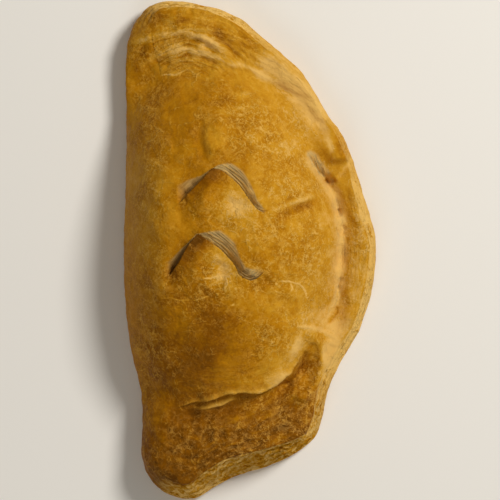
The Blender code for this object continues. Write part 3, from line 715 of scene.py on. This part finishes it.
        self.grain[wall] = np.column_stack([run, np.zeros_like(run), outside + WALL_GRAIN])[wall]
        flap = outside < 0
        to_tip = np.hypot(self.x - tip[0], self.y - tip[1])
        self.browning += vent["burnt"] * bell(to_tip, BURNT_REACH) * flap
        # The flap's left flank, away from the key light, is browned partly as painted shade
        leftward = smoothstep(-2.0, 5.0, across) * np.exp(-((1.4 * away) ** 2)) * flap
        self.browning += BURNT_AND_SHADED_FLANK * leftward * np.exp(-np.abs(outside) / BURNT_AND_SHADED_FLANK_REACH)

    def open_wall(self, wall, outside, share, opening, depth):
        """Drops the lid beside the snip to its depth, and brings it back up across the opening in leaves."""
        low = 1 - np.clip(outside / opening, 0.0, 1.0)
        height, waves, shift = WALL_LEAVES
        self.height -= np.where(wall, depth * low**1.2, 0.0)
        self.height += np.where(wall, height * np.sin(outside * waves + shift * share) * low, 0.0)


# The crust's outline, and how a flat grid is laid over it

class Rim:
    """The outline as a closed curve, looked up by side number plus share of that side's length."""

    def __init__(self, steps=24, reach=3):
        """A number of steps from point to point, and how many steps each way give the rim's direction."""
        columns = smooth_path([point for side in SIDES for point in side], steps, closed=True)
        ahead = np.roll(columns[:, :2], -reach, axis=0) - np.roll(columns[:, :2], reach, axis=0)
        inward = np.column_stack([-ahead[:, 1], ahead[:, 0]])
        inward /= np.linalg.norm(inward, axis=1, keepdims=True)
        columns = np.column_stack([columns, inward])
        columns = np.vstack([columns, columns[:1]])
        round_length = np.concatenate([[0.0], np.cumsum(np.hypot(*np.diff(columns[:, :2], axis=0).T))])
        columns = np.column_stack([columns, round_length])
        self.length = round_length[-1]
        self.tables = []
        begin = 0
        for side in SIDES:
            rows = columns[begin : begin + len(side) * steps + 1]
            length = rows[:, 6] - rows[0, 6]
            self.tables.append((length / length[-1], rows))
            begin += len(side) * steps

    def at(self, place):
        """(x, y, edge width, cut share, inward x, inward y, length so far) at each place from 0 to 4."""
        place = np.asarray(place, float) % 4
        found = np.zeros((len(place), 7))
        for number, (share, rows) in enumerate(self.tables):
            here = (place >= number) & (place < number + 1)
            for column in range(7):
                found[here, column] = np.interp(place[here] - number, share, rows[:, column])
        return found


class Sheet:
    """Spreads the inside of a closed curve over a disc, by the low orders of the curve's Fourier series."""

    def __init__(self, curve, harmonics=4, samples=512):
        self.curve = curve
        points = curve(np.arange(samples) * 4 / samples)
        series = np.fft.fft(points[:, 0] + 1j * points[:, 1]) / samples
        self.orders = np.arange(-harmonics, harmonics + 1)
        self.series = series[self.orders]

    def smooth(self, radius, place):
        angle = np.asarray(place) * math.pi / 2
        waves = radius[:, None] ** np.abs(self.orders) * np.exp(1j * np.outer(angle, self.orders))
        found = waves @ self.series
        return np.column_stack([found.real, found.imag])

    def at(self, radius, place):
        """The smooth spread, drawn out near the rim so that it ends on the curve."""
        missing = self.curve(place) - self.smooth(np.ones_like(radius), place)
        return (self.smooth(radius, place) + radius[:, None] ** 3 * missing).T


def disc_place(a, b):
    """Takes a square's points to a disc: (radius, place from 0 to 4 round it)."""
    radius = np.maximum(np.abs(a), np.abs(b))
    safe = np.where(radius > 0, radius, 1.0)
    across, up = a / safe, b / safe
    place = np.where(across >= 1, (up + 1) / 2, 0.0)
    place = np.where((up >= 1) & (across < 1), 1 + (1 - across) / 2, place)
    place = np.where((across <= -1) & (up < 1), 2 + (1 - up) / 2, place)
    place = np.where((up <= -1) & (across > -1) & (across < 1), 3 + (across + 1) / 2, place)
    return radius, place % 4


def edge_profile(turn, roundness):
    """(how far in, how far up) the edge lies, as shares, on a quarter of a superellipse."""
    turn = np.clip(turn, 0.0, 1.0) * math.pi / 2
    return 1 - np.sin(turn) ** (2 / roundness), np.clip(np.cos(turn), 0.0, 1.0) ** (2 / roundness)


class Crust:
    """Moves a flat grid with a hanging skirt onto the pasty, and keeps the marks for its colour."""

    def __init__(self, sizes):
        self.sizes = sizes
        self.rim = Rim()
        self.sheet = Sheet(self.set_in)

    def set_in(self, place):
        x, y, width, _, inward_x, inward_y, _ = self.rim.at(place).T
        return np.column_stack([x + inward_x * width, y + inward_y * width])

    def plan(self, grid):
        """Where each point of the grid lies seen from above, before its skirt is let out."""
        radius, place = disc_place(grid[:, 0], grid[:, 1])
        return self.sheet.at(radius, place)

    def grain(self, grid):
        """Places in millimetres that run round the crust and in from its rim, for streaks along the edge."""
        radius, place = disc_place(grid[:, 0], grid[:, 1])
        circle = self.rim.length / (2 * math.pi)
        turn = self.rim.at(place)[:, 6] / circle
        return np.column_stack([circle * np.cos(turn), circle * np.sin(turn), (radius - 1) * HALF_WIDTH])

    def leaves(self, down, cut, round_length, roundness):
        """(how far in, how far up, gap, leaf number) on the stepped leaves of the cut edge."""
        count = self.sizes.leaves
        zero = np.zeros_like(down)
        drift = sum(lumps(round_length, zero, *row) for row in LEAF_DRIFT)
        level = down * count + drift * smoothstep(0.0, 0.15, down) * smoothstep(1.0, 0.9, down)
        number = np.clip(np.floor(level), 0, count - 1)
        part = level - number
        top_in, top_up = edge_profile(number / count, roundness)
        low_in, low_up = edge_profile((number + 1) / count, roundness)
        tread = smoothstep(LEAF_RISER, 1.0, part)
        steep = LEAF_DROP * part / LEAF_RISER
        flat = LEAF_DROP + (1 - LEAF_DROP) * (part - LEAF_RISER) / (1 - LEAF_RISER)
        fall = np.where(part < LEAF_RISER, steep, flat)
        gap = np.sin(math.pi * np.clip(part / LEAF_RISER, 0.0, 1.0)) ** 2
        inset = top_in + (low_in - top_in) * tread
        up = top_up + (low_up - top_up) * fall
        smooth_in, smooth_up = edge_profile(down, roundness)
        mix = cut * smoothstep(0.0, 0.3, down)
        return smooth_in + (inset - smooth_in) * mix, smooth_up + (up - smooth_up) * mix, gap * mix, level

    def ragged(self, round_length, level):
        """How far each leaf is torn back, in rags and smaller nicks that differ from leaf to leaf."""
        apart = np.floor(level) * LEAF_APART
        rags = np.clip(0.5 + lumps(round_length, apart, *LEAF_RAGS), 0.0, 1.0)
        return rags + 0.5 * np.clip(lumps(round_length, apart, *LEAF_NICKS), -0.3, 1.0)

    def shape(self, grid):
        """Places every point of the grid. Its third column counts the skirt's rows down from the rim."""
        sizes = self.sizes
        x, y = self.plan(grid)
        grain = self.grain(grid)
        row = -grid[:, 2]
        radius, place = disc_place(grid[:, 0], grid[:, 1])
        skirt = np.flatnonzero(radius > GRID_RIM)
        rim_x, rim_y, width, cut, inward_x, inward_y, round_length = self.rim.at(place[skirt]).T
        down = np.clip(row[skirt] / sizes.skirt_rows, 0.0, 1.0)
        under = np.clip((row[skirt] - sizes.skirt_rows) / sizes.tuck_rows, 0.0, 1.0) * math.pi / 2
        roundness = FOLD_ROUNDNESS + (CUT_ROUNDNESS - FOLD_ROUNDNESS) * cut
        back, up, gap, level = self.leaves(down, cut, round_length, roundness)

        tuck = FOLD_TUCK + (CUT_TUCK - FOLD_TUCK) * cut
        gap_depth = LEAF_GAP * gap * smoothstep(1.5, 7.0, width)
        wave = cut * lumps(rim_x, rim_y, *EDGE_WAVE)
        on_face = smoothstep(0.0, 0.35, down) * smoothstep(1.0, 0.9, down)
        inset = np.where(under > 0, tuck * (1 - np.cos(under)), width * back + gap_depth)
        inset = inset + wave * (1 - back) + LEAF_SET_BACK * cut * self.ragged(round_length, level) * on_face
        x[skirt] = rim_x + inward_x * inset
        y[skirt] = rim_y + inward_y * inset
        strata = level * LEAF_THICKNESS + lumps(round_length, level * 0.5, *GRAIN_WAVE)
        grain[skirt, 2] = strata + lumps(round_length, level, *GRAIN_RIPPLE)

        lid = Lid(x, y, grain, sizes)
        z = lid.height.copy()
        belly = sizes.fold_belly + (sizes.cut_belly - sizes.fold_belly) * cut
        z[skirt] = np.where(under > 0, belly * (1 - np.sin(under)), belly + (z[skirt] - belly) * up)
        rough = sum(lumps(x[skirt], y[skirt], *bumps, z[skirt]) for bumps in FACE_ROUGH) + 0.2
        rough = np.clip(rough, 0.0, None) * smoothstep(0.0, 0.25, down) * (under == 0)
        on_lid = np.ones_like(x)
        on_lid[skirt] = 0.0
        x = x + lid.shift[:, 0] * on_lid
        y = y + lid.shift[:, 1] * on_lid
        x[skirt] += inward_x * rough
        y[skirt] += inward_y * rough

        layers = np.zeros_like(x)
        torn = 0.03 + 0.2 * np.clip(lumps(round_length, down * 3.0, *GLAZE_TORN) + 0.25, 0.0, 1.0)
        layers[skirt] = smoothstep(torn, torn + 0.09, down) * cut
        lid.dough[skirt] += 0.4 * gap * cut
        underside = np.zeros_like(x)
        underside[skirt] = smoothstep(0.3, 1.4, under)
        marks = {
            # the browning mark also carries painted shade and painted light
            "browning": lid.browning,
            "dough": np.clip(lid.dough, 0.0, 1.0),
            "flaky": np.clip(lid.flaky, 0.0, 1.0),
            "layers": layers,
            "wall": np.clip(lid.wall, 0.0, 1.0),
            "pleats": np.where(on_lid > 0, lid.pleats, 0.0),
            "margin": self.margin(grid),
            "underside": underside,
        }
        return np.column_stack([x, y, z]), {"grain": lid.grain, "arcs": lid.arcs}, marks

    def margin(self, grid):
        """1 along the pressed edge and the ends, 0 over the filled dome and the rolled fold."""
        radius, place = disc_place(grid[:, 0], grid[:, 1])
        cut = self.rim.at(place)[:, 3]
        return smoothstep(0.62, 0.86, radius) * cut


def inside_solid(points):
    """Keeps the crust within the solid's box."""
    low, high = (np.array(corner) / METRES for corner in solid_box)
    return np.clip(points, low, high)


def lay_grid(sizes, crust):
    """A flat grid, finer along sharp lines, with a skirt of rows hanging from its rim and a closed base."""
    bm = bmesh.new()
    bmesh.ops.create_grid(bm, x_segments=sizes.cells_across, y_segments=sizes.cells_along, size=1.0)
    refine(bm, crust)
    rim = [e for e in bm.edges if e.is_boundary]
    for row in range(1, sizes.skirt_rows + sizes.tuck_rows + 1):
        made = bmesh.ops.extrude_edge_only(bm, edges=rim)["geom"]
        for vertex in (g for g in made if isinstance(g, bmesh.types.BMVert)):
            vertex.co.z = -row
        rim = [g for g in made if isinstance(g, bmesh.types.BMEdge) and g.is_boundary]
    bmesh.ops.holes_fill(bm, edges=rim, sides=0)
    bmesh.ops.recalc_face_normals(bm, faces=bm.faces[:])
    return bm


def refine(bm, crust):
    """Halves the cells that a snip, an overhanging lap, a sharp fold or a crack crosses."""
    x, y = crust.plan(np.array([v.co for v in bm.verts], float))
    near = np.zeros(len(x), bool)
    sharp = [(vent_path(vent)[0], SNIP_FINE) for vent in VENTS]
    lines = [(points, LAP_FINE) for points, _, _, _, overhang, _ in LAPS if overhang > 0]
    lines += [(points, FOLD_FINE) for points, _, half_width, _ in FOLDS if half_width < SHARP_FOLD]
    lines += [(points, CRACK_FINE) for points, _, _ in CRACKS]
    sharp += [(smooth_path(points, HALVING_STEPS), reach) for points, reach in lines]
    for path, reach in sharp:
        rows = near_path(path, x, y, reach)
        near[rows] |= np.abs(beside(path, x[rows], y[rows])[0]) < reach
    bm.verts.index_update()
    edges = [e for e in bm.edges if near[e.verts[0].index] and near[e.verts[1].index] and not e.is_boundary]
    bmesh.ops.subdivide_edges(bm, edges=edges, cuts=1, use_grid_fill=True)


def crust_mesh(sizes):
    """The whole crust as one mesh, with its marks as attributes."""
    crust = Crust(sizes)
    bm = lay_grid(sizes, crust)
    mesh = bpy.data.meshes.new("crust")
    bm.to_mesh(mesh)
    bm.free()
    grid = np.empty(len(mesh.vertices) * 3)
    mesh.vertices.foreach_get("co", grid)
    points, runs, marks = crust.shape(grid.reshape(-1, 3))
    mesh.vertices.foreach_set("co", (inside_solid(points) * METRES).ravel())
    for name, places in runs.items():
        mesh.attributes.new(name, "FLOAT_VECTOR", "POINT").data.foreach_set("vector", places.ravel())
    for name, values in marks.items():
        mesh.attributes.new(name, "FLOAT", "POINT").data.foreach_set("value", values)
    mesh.shade_smooth()
    mesh.update()
    return mesh


# Shader maths written as Python expressions

class Value:
    """A socket in a shader, with the arithmetic that adds Math nodes to it."""

    def __init__(self, nodes, socket):
        self.nodes = nodes
        self.socket = socket

    def maths(self, operation, *values, clamp=False):
        settings = {"operation": operation, "use_clamp": clamp}
        return self.nodes.add("ShaderNodeMath", settings, dict(enumerate(values)))

    def __add__(self, other):
        return self.maths("ADD", self, other)

    __radd__ = __add__

    def __sub__(self, other):
        return self.maths("SUBTRACT", self, other)

    def __rsub__(self, other):
        return self.maths("SUBTRACT", other, self)

    def __mul__(self, other):
        return self.maths("MULTIPLY", self, other)

    __rmul__ = __mul__

    def __abs__(self):
        return self.maths("ABSOLUTE", self)

    def clipped(self):
        return self.maths("ADD", self, 0.0, clamp=True)

    def step(self, low, high):
        """0 at low, 1 at high, smooth between them."""
        ends = {"Value": self, "From Min": low, "From Max": high, "To Min": 0.0, "To Max": 1.0}
        return self.nodes.add("ShaderNodeMapRange", {"interpolation_type": "SMOOTHSTEP"}, ends)


class Nodes:
    """Adds nodes to one material's tree."""

    def __init__(self, material):
        material.use_nodes = True
        self.tree = material.node_tree
        self.tree.nodes.clear()

    def add(self, kind, settings=None, inputs=None, output=0):
        """One node: its settings first, then its sockets by name or number. Returns an output as a Value."""
        node = self.tree.nodes.new(kind)
        for name, setting in (settings or {}).items():
            if name == "stops":
                self.set_stops(node.color_ramp, setting)
            else:
                setattr(node, name, setting)
        for name, value in (inputs or {}).items():
            if isinstance(value, Value):
                self.tree.links.new(value.socket, node.inputs[name])
            else:
                node.inputs[name].default_value = value
        return Value(self, node.outputs[output]) if len(node.outputs) else node

    def set_stops(self, ramp, stops):
        while len(ramp.elements) < len(stops):
            ramp.elements.new(1.0)
        for element, (position, colour) in zip(ramp.elements, stops):
            element.position = position
            element.color = colour

    def mark(self, name, output=2):
        """A mark kept on the crust's points, as one value, or as places with output 1."""
        return self.add("ShaderNodeAttribute", {"attribute_name": name}, output=output)

    def scaled(self, vector, scale):
        return self.add("ShaderNodeVectorMath", {"operation": "MULTIPLY"}, {0: vector, 1: scale})

    def warped(self, vector, size, reach):
        """The vector pushed about by noise of a given size, by up to half the reach."""
        look = {"Vector": vector, "Scale": 1 / size, "Detail": 3.0}
        push = self.scaled(self.add("ShaderNodeTexNoise", {}, look, output=1), (reach, reach, reach))
        return self.add("ShaderNodeVectorMath", {"operation": "ADD"}, {0: vector, 1: push})

    def rims(self, vector, size):
        """Distance to the nearest rim between many small plates, as a share of their size."""
        look = {"Vector": vector, "Scale": 1 / size}
        return self.add("ShaderNodeTexVoronoi", {"feature": "DISTANCE_TO_EDGE"}, look)

    def noise(self, vector, size, detail=3.0, roughness=0.55, distortion=0.0):
        """Noise from 0 to 1 with features of about the given size, in the vector's own unit."""
        look = {"Scale": 1 / size, "Detail": detail, "Roughness": roughness, "Distortion": distortion}
        return self.add("ShaderNodeTexNoise", {"noise_dimensions": "3D"}, {"Vector": vector, **look})

    def fibres(self, grain, length, width, detail=3.0, distortion=0.0):
        """Noise drawn out along the grain: length and width in millimetres."""
        drawn = self.scaled(grain, (1 / length, 1 / length, 1 / width))
        return self.noise(drawn, 1.0, detail=detail, roughness=0.6, distortion=distortion)

    def ramp(self, value, stops):
        return self.add("ShaderNodeValToRGB", {"stops": stops}, {"Fac": value})

    def mix(self, factor, first, second):
        """Colours mixed by a factor."""
        return self.add("ShaderNodeMix", {"data_type": "RGBA"}, {0: factor, 6: first, 7: second}, output=2)


# Colours and materials. Sizes of the marks in the skin are metres, those along the grain millimetres

def stops(colours, **places):
    """A ramp's stops: each named colour at its place from 0 to 1."""
    return [(place, (*getattr(colours, name), 1.0)) for name, place in places.items()]


def loose_flakes(n, place):
    """Split skin: rims of small plates and chips, larger sheets that come off, and grit in clusters."""
    loose = n.warped(place, 0.0018, 0.0028)
    torn = n.noise(place, 0.0026, detail=2.0).step(0.5, 0.58)
    worn = n.noise(place, 0.0015, detail=2.0).step(0.5, 0.58)
    plates = n.rims(loose, 0.0030).step(0.07, 0.02) * torn
    chips = n.rims(loose, 0.0016).step(0.09, 0.03) * worn * 0.8
    sheets = n.noise(place, 0.0042, detail=5.0, roughness=0.62, distortion=1.6).step(0.52, 0.6)
    clustered = n.noise(place, 0.005, detail=3.0).step(0.42, 0.58)
    grit = n.noise(place, 0.0012, detail=2.0, roughness=0.75, distortion=0.8).step(0.54, 0.58) * clustered
    return ((plates + chips) * 0.6 + sheets * 0.44 + grit * 0.85).clipped()


def hair_cracks(n, place):
    """Fine cracks in the glaze: some wander, and some part it into larger plates."""
    bend = n.noise(place, 0.011, detail=4.0, roughness=0.6, distortion=0.7)
    wandering = abs(bend - 0.5).step(0.012, 0.0) * n.noise(place, 0.016).step(0.5, 0.62) * 0.5
    split = n.noise(place, 0.012).step(0.5, 0.6) * n.noise(place, 0.003, detail=1.0).step(0.4, 0.5)
    plates = n.rims(n.warped(place, 0.003, 0.007), 0.008).step(0.04, 0.015)
    return (wandering + plates * split * 0.6).clipped()


def crust_material(colours):
    """Baked puff pastry: glazed amber skin, pale flakes and cracks, and the fine leaves of cut dough."""
    material = bpy.data.materials.new("baked_crust")
    n = Nodes(material)
    place = n.add("ShaderNodeTexCoord", output=3)
    grain, arcs = n.mark("grain", output=1), n.mark("arcs", output=1)
    browning, dough, flaky = n.mark("browning"), n.mark("dough"), n.mark("flaky")
    layers, wall, margin = n.mark("layers"), n.mark("wall"), n.mark("margin")
    pleats, underside = n.mark("pleats"), n.mark("underside")

    broad = n.noise(place, 0.022, detail=2.0)
    blotch = n.noise(place, 0.0075, detail=4.0, roughness=0.58, distortion=0.8)
    mottle = n.noise(place, 0.0024, detail=3.0, roughness=0.58, distortion=0.8)
    speck = n.noise(place, 0.0008, detail=2.0)
    streak = n.fibres(grain, 9.0, 1.3, detail=4.0, distortion=0.4)
    pleat = n.fibres(arcs, 11.0, 1.1, detail=4.0, distortion=0.5)
    crest = abs(pleat - 0.5).step(0.05, 0.0) * pleats
    # Browning also brings painted shade in browned grooves, on the flaps' left flanks and the lower left, and
    # painted light on the east side and the flaps' right flanks
    tone = 0.47 + browning + (broad - 0.5) * 0.4 + (blotch - 0.5) * 0.5
    tone = tone + (mottle - 0.5) * 0.26 + (speck - 0.5) * 0.24 + margin * ((streak - 0.5) * 0.7 - 0.1)
    tone = tone - pleats * ((pleat - 0.5) * 0.9) - crest * 0.12

    region = (flaky * 1.1 + (broad - 0.5) * 1.2 + (blotch - 0.5) * 1.8 - 0.05).clipped()
    flakes = loose_flakes(n, place) * region
    vein = hair_cracks(n, place)
    pores = n.noise(place, 0.0012, detail=1.0).step(0.28, 0.24) * n.noise(place, 0.009).step(0.5, 0.65)
    skin = n.ramp(
        (tone - flakes * 0.36 - vein * 0.25 + pores * 0.12).clipped(),
        stops(colours, pale_gold=0.0, gold=0.28, amber=0.5, brown=0.74, dark_brown=1.0),
    )
    bare = (dough + flakes * 0.6 + vein * 0.3 + crest * 0.3).clipped()
    skin = n.mix(bare * 0.75, skin, n.ramp(blotch, stops(colours, dough=0.3, toasted_dough=0.7)))

    strata = n.fibres(grain, 13.0, 0.8, detail=5.0, distortion=0.9)
    thin = n.fibres(grain, 6.0, 0.3, detail=3.0, distortion=0.5)
    crumb = (strata - 0.5) * 1.4 + (thin - 0.5) * 1.2 + (mottle - 0.5) * 0.9 + (speck - 0.5) * 0.7
    cut_face = n.ramp(
        (crumb + browning * 0.5 + 0.28).clipped(),
        stops(colours, dough=0.3, toasted_dough=0.44, gold=0.56, amber=0.72, brown=0.92),
    )
    skin = n.mix(layers * 0.92, skin, cut_face)
    fibre = n.fibres(grain, 9.0, 0.55, detail=3.0, distortion=0.4)
    inside = n.ramp(
        (fibre + (mottle - 0.5) * 0.4 - browning * 0.4).clipped(),
        stops(colours, shaded_dough=0.3, steamed_dough=0.5, dough=0.7),
    )
    skin = n.mix(wall, skin, inside)
    base = n.ramp(blotch + (speck - 0.5) * 0.3, stops(colours, toasted_dough=0.3, gold=0.5, amber=0.72))
    skin = n.mix(underside, skin, base)

    rough = 0.42 + bare * 0.3 + layers * 0.3 + wall * 0.4 + underside * 0.3 + (mottle - 0.5) * 0.25
    relief = mottle * 0.3 + speck * 0.16 + blotch * 0.3 + flakes * 0.22 + vein * 0.3 - pores * 0.12
    relief = relief + crest * 0.14 + pleats * pleat * 0.6 + margin * (streak * 0.5)
    relief = relief + layers * (strata * 0.6 + thin * 0.7) + wall * fibre
    look = {
        "Base Color": skin,
        "Roughness": rough.clipped(),
        "Specular IOR Level": 0.06,
        "Specular Tint": (*colours.glaze, 1.0),
        "Normal": n.add("ShaderNodeBump", {}, {"Strength": 0.8, "Distance": 0.001, "Height": relief}),
    }
    n.add("ShaderNodeOutputMaterial", {}, {"Surface": n.add("ShaderNodeBsdfPrincipled", {}, look)})
    return material


def floor_material(colour):
    material = bpy.data.materials.new("pale_floor")
    n = Nodes(material)
    worn = n.noise(n.add("ShaderNodeTexCoord", output=3), 0.03, detail=2.0)
    look = {"Base Color": (*colour, 1.0), "Roughness": 0.7 + worn * 0.1}
    n.add("ShaderNodeOutputMaterial", {}, {"Surface": n.add("ShaderNodeBsdfPrincipled", {}, look)})
    return material


# Settings that a user would change

def length(name, description, default):
    return bpy.props.FloatProperty(
        name=name, description=description, default=default, unit="LENGTH", min=0.0
    )


def count(name, description, default):
    return bpy.props.IntProperty(name=name, description=description, default=default, min=1)


def power(name, description, default):
    return bpy.props.FloatProperty(name=name, description=description, default=default, unit="POWER")


def colour(name, description, default):
    return bpy.props.FloatVectorProperty(
        name=name, description=description, default=default, subtype="COLOR", size=3, min=0.0, max=1.0
    )


class PastySizes(bpy.types.PropertyGroup):
    """Sizes of the crust, and how finely it is divided."""

    dome_height: length("Dome height", "Top of the filled dome above the table", 0.040)
    brim_height: length("Brim height", "Top of the sealed brim above the table", 0.0115)
    south_end_height: length("Broad end height", "Top of the puffed broad end", 0.023)
    north_end_height: length("Narrow end height", "Top of the puffed narrow end", 0.0175)
    fold_belly_height: length("Fold belly", "Level where the rolled fold reaches furthest out", 0.009)
    cut_belly_height: length("Cut belly", "Level where the cut edge reaches furthest out", 0.004)
    cell: length("Cell", "Spacing of the lid's grid", 0.00062)
    skirt_rows: count("Skirt rows", "Rows of cells from the rim down to the belly", 30)
    tuck_rows: count("Tuck rows", "Rows of cells from the belly in to the base", 5)
    leaves: count("Leaves", "Leaves of dough that the cut edge shows", 5)


class PastyColours(bpy.types.PropertyGroup):
    """Colours of the crust, from bare dough to the darkest bake."""

    dough: colour("Dough", "Bare dough in gaps and cracks", (0.79, 0.515, 0.15))
    toasted_dough: colour("Toasted dough", "Dough that the heat has dried", (0.61, 0.355, 0.08))
    steamed_dough: colour("Steamed dough", "Walls of the vents, kept soft by steam", (0.60, 0.44, 0.19))
    shaded_dough: colour("Shaded dough", "Hollows between the leaves in a vent's wall", (0.34, 0.24, 0.10))
    pale_gold: colour("Pale gold", "The lightest glazed crust", (0.74, 0.45, 0.12))
    gold: colour("Gold", "Glazed crust on the brim", (0.58, 0.29, 0.018))
    amber: colour("Amber", "Glazed crust on the dome", (0.44, 0.185, 0.004))
    brown: colour("Brown", "Well baked crust", (0.25, 0.088, 0.002))
    # Creases reach this darkest stop partly through painted shade carried in the browning
    dark_brown: colour("Dark brown", "Tips and creases baked the darkest", (0.12, 0.042, 0.003))
    glaze: colour("Glaze", "Tint of the glaze's shine", (1.0, 0.66, 0.2))


class StageSettings(bpy.types.PropertyGroup):
    """The floor, the lights and the camera."""

    floor: colour("Floor", "Colour of the floor", (0.86, 0.86, 0.85))
    floor_size: length("Floor size", "Length of the floor's side", 4.0)
    camera_height: length("Camera height", "Height of the camera above the table", 1.5)
    view_width: length("View width", "Width that the picture covers, at the level of the belly", 0.186)
    key_power: power("Key power", "Power of the main light", 13.2)
    fill_power: power("Fill power", "Power of the light opposite", 2.9)
    sky: bpy.props.FloatProperty(name="Sky", description="Strength of the even light all round", default=0.2)


class Sizes:
    """The sizes in millimetres, and the counts worked out from them."""

    def __init__(self, settings):
        self.dome = settings.dome_height / METRES
        self.brim = settings.brim_height / METRES
        self.south_end = settings.south_end_height / METRES
        self.north_end = settings.north_end_height / METRES
        self.fold_belly = settings.fold_belly_height / METRES
        self.cut_belly = settings.cut_belly_height / METRES
        low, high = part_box("pasty")
        self.cells_across = round((high[0] - low[0]) / settings.cell)
        self.cells_along = round((high[1] - low[1]) / settings.cell)
        self.skirt_rows = settings.skirt_rows
        self.tuck_rows = settings.tuck_rows
        self.leaves = settings.leaves


def add_object(name, data):
    obj = bpy.data.objects.new(name, data)
    bpy.context.scene.collection.objects.link(obj)
    return obj


def add_light(name, place, size, power, colour):
    """An area light that faces the middle of the pasty."""
    data = bpy.data.lights.new(name, "AREA")
    data.shape = "DISK"
    data.size = size
    data.energy = power
    data.color = colour
    light = add_object(name, data)
    light.location = place
    light.rotation_euler = (-Vector(place)).to_track_quat("-Z", "Y").to_euler()
    return light


class PASTY_OT_crust(bpy.types.Operator):
    """Lay the baked crust over the solid"""

    bl_idname = "pasty.crust"
    bl_label = "Baked crust"

    def execute(self, context):
        mesh = crust_mesh(Sizes(context.scene.pasty_sizes))
        mesh.materials.append(crust_material(context.scene.pasty_colours))
        crust = add_object("crust", mesh)
        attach(crust, "root")
        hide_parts("pasty")
        return {"FINISHED"}


class PASTY_OT_stage(bpy.types.Operator):
    """Set a pale floor, soft lights and a camera straight above"""

    bl_idname = "pasty.stage"
    bl_label = "Stage"

    def execute(self, context):
        settings = context.scene.pasty_stage
        bm = bmesh.new()
        bmesh.ops.create_grid(bm, x_segments=1, y_segments=1, size=settings.floor_size / 2)
        mesh = bpy.data.meshes.new("floor")
        bm.to_mesh(mesh)
        bm.free()
        mesh.materials.append(floor_material(settings.floor))
        floor = add_object("floor", mesh)

        add_light("key_light", (0.66, 0.56, 0.95), 0.4, settings.key_power, (1.0, 0.95, 0.87))
        add_light("fill_light", (-0.25, -1.0, 0.8), 0.8, settings.fill_power, (1.0, 0.97, 0.92))
        world = bpy.data.worlds.new("studio")
        world.use_nodes = True
        sky = world.node_tree.nodes["Background"]
        sky.inputs["Color"].default_value = (1.0, 0.9, 0.74, 1.0)
        sky.inputs["Strength"].default_value = settings.sky
        context.scene.world = world
        context.scene.view_settings.view_transform = "Standard"

        lens = bpy.data.cameras.new("camera")
        belly = context.scene.pasty_sizes.fold_belly_height
        lens.lens = lens.sensor_width * (settings.camera_height - belly) / settings.view_width
        lens.clip_end = 10.0
        camera = add_object("camera", lens)
        camera.location = (0.0, 0.0, settings.camera_height)
        context.scene.camera = camera
        return {"FINISHED"}


class PASTY_PT_panel(bpy.types.Panel):
    """Lists the pieces of the pasty and their settings"""

    bl_idname = "PASTY_PT_panel"
    bl_label = "Pasty"
    bl_space_type = "VIEW_3D"
    bl_region_type = "UI"
    bl_category = "Pasty"

    def draw(self, context):
        column = self.layout.column()
        for operator in PIECES:
            column.operator(operator.bl_idname)
        for settings in (context.scene.pasty_sizes, context.scene.pasty_colours, context.scene.pasty_stage):
            for name in settings.__annotations__:
                column.prop(settings, name)


PIECES = (PASTY_OT_crust, PASTY_OT_stage)
CLASSES = (PastySizes, PastyColours, StageSettings) + PIECES + (PASTY_PT_panel,)


def register():
    for cls in CLASSES:
        bpy.utils.register_class(cls)
    bpy.types.Scene.pasty_sizes = bpy.props.PointerProperty(type=PastySizes)
    bpy.types.Scene.pasty_colours = bpy.props.PointerProperty(type=PastyColours)
    bpy.types.Scene.pasty_stage = bpy.props.PointerProperty(type=StageSettings)


def unregister():
    del bpy.types.Scene.pasty_stage
    del bpy.types.Scene.pasty_colours
    del bpy.types.Scene.pasty_sizes
    for cls in reversed(CLASSES):
        bpy.utils.unregister_class(cls)


def main():
    register()
    bpy.ops.pasty.crust()
    bpy.ops.pasty.stage()


if __name__ == "__main__":
    main()
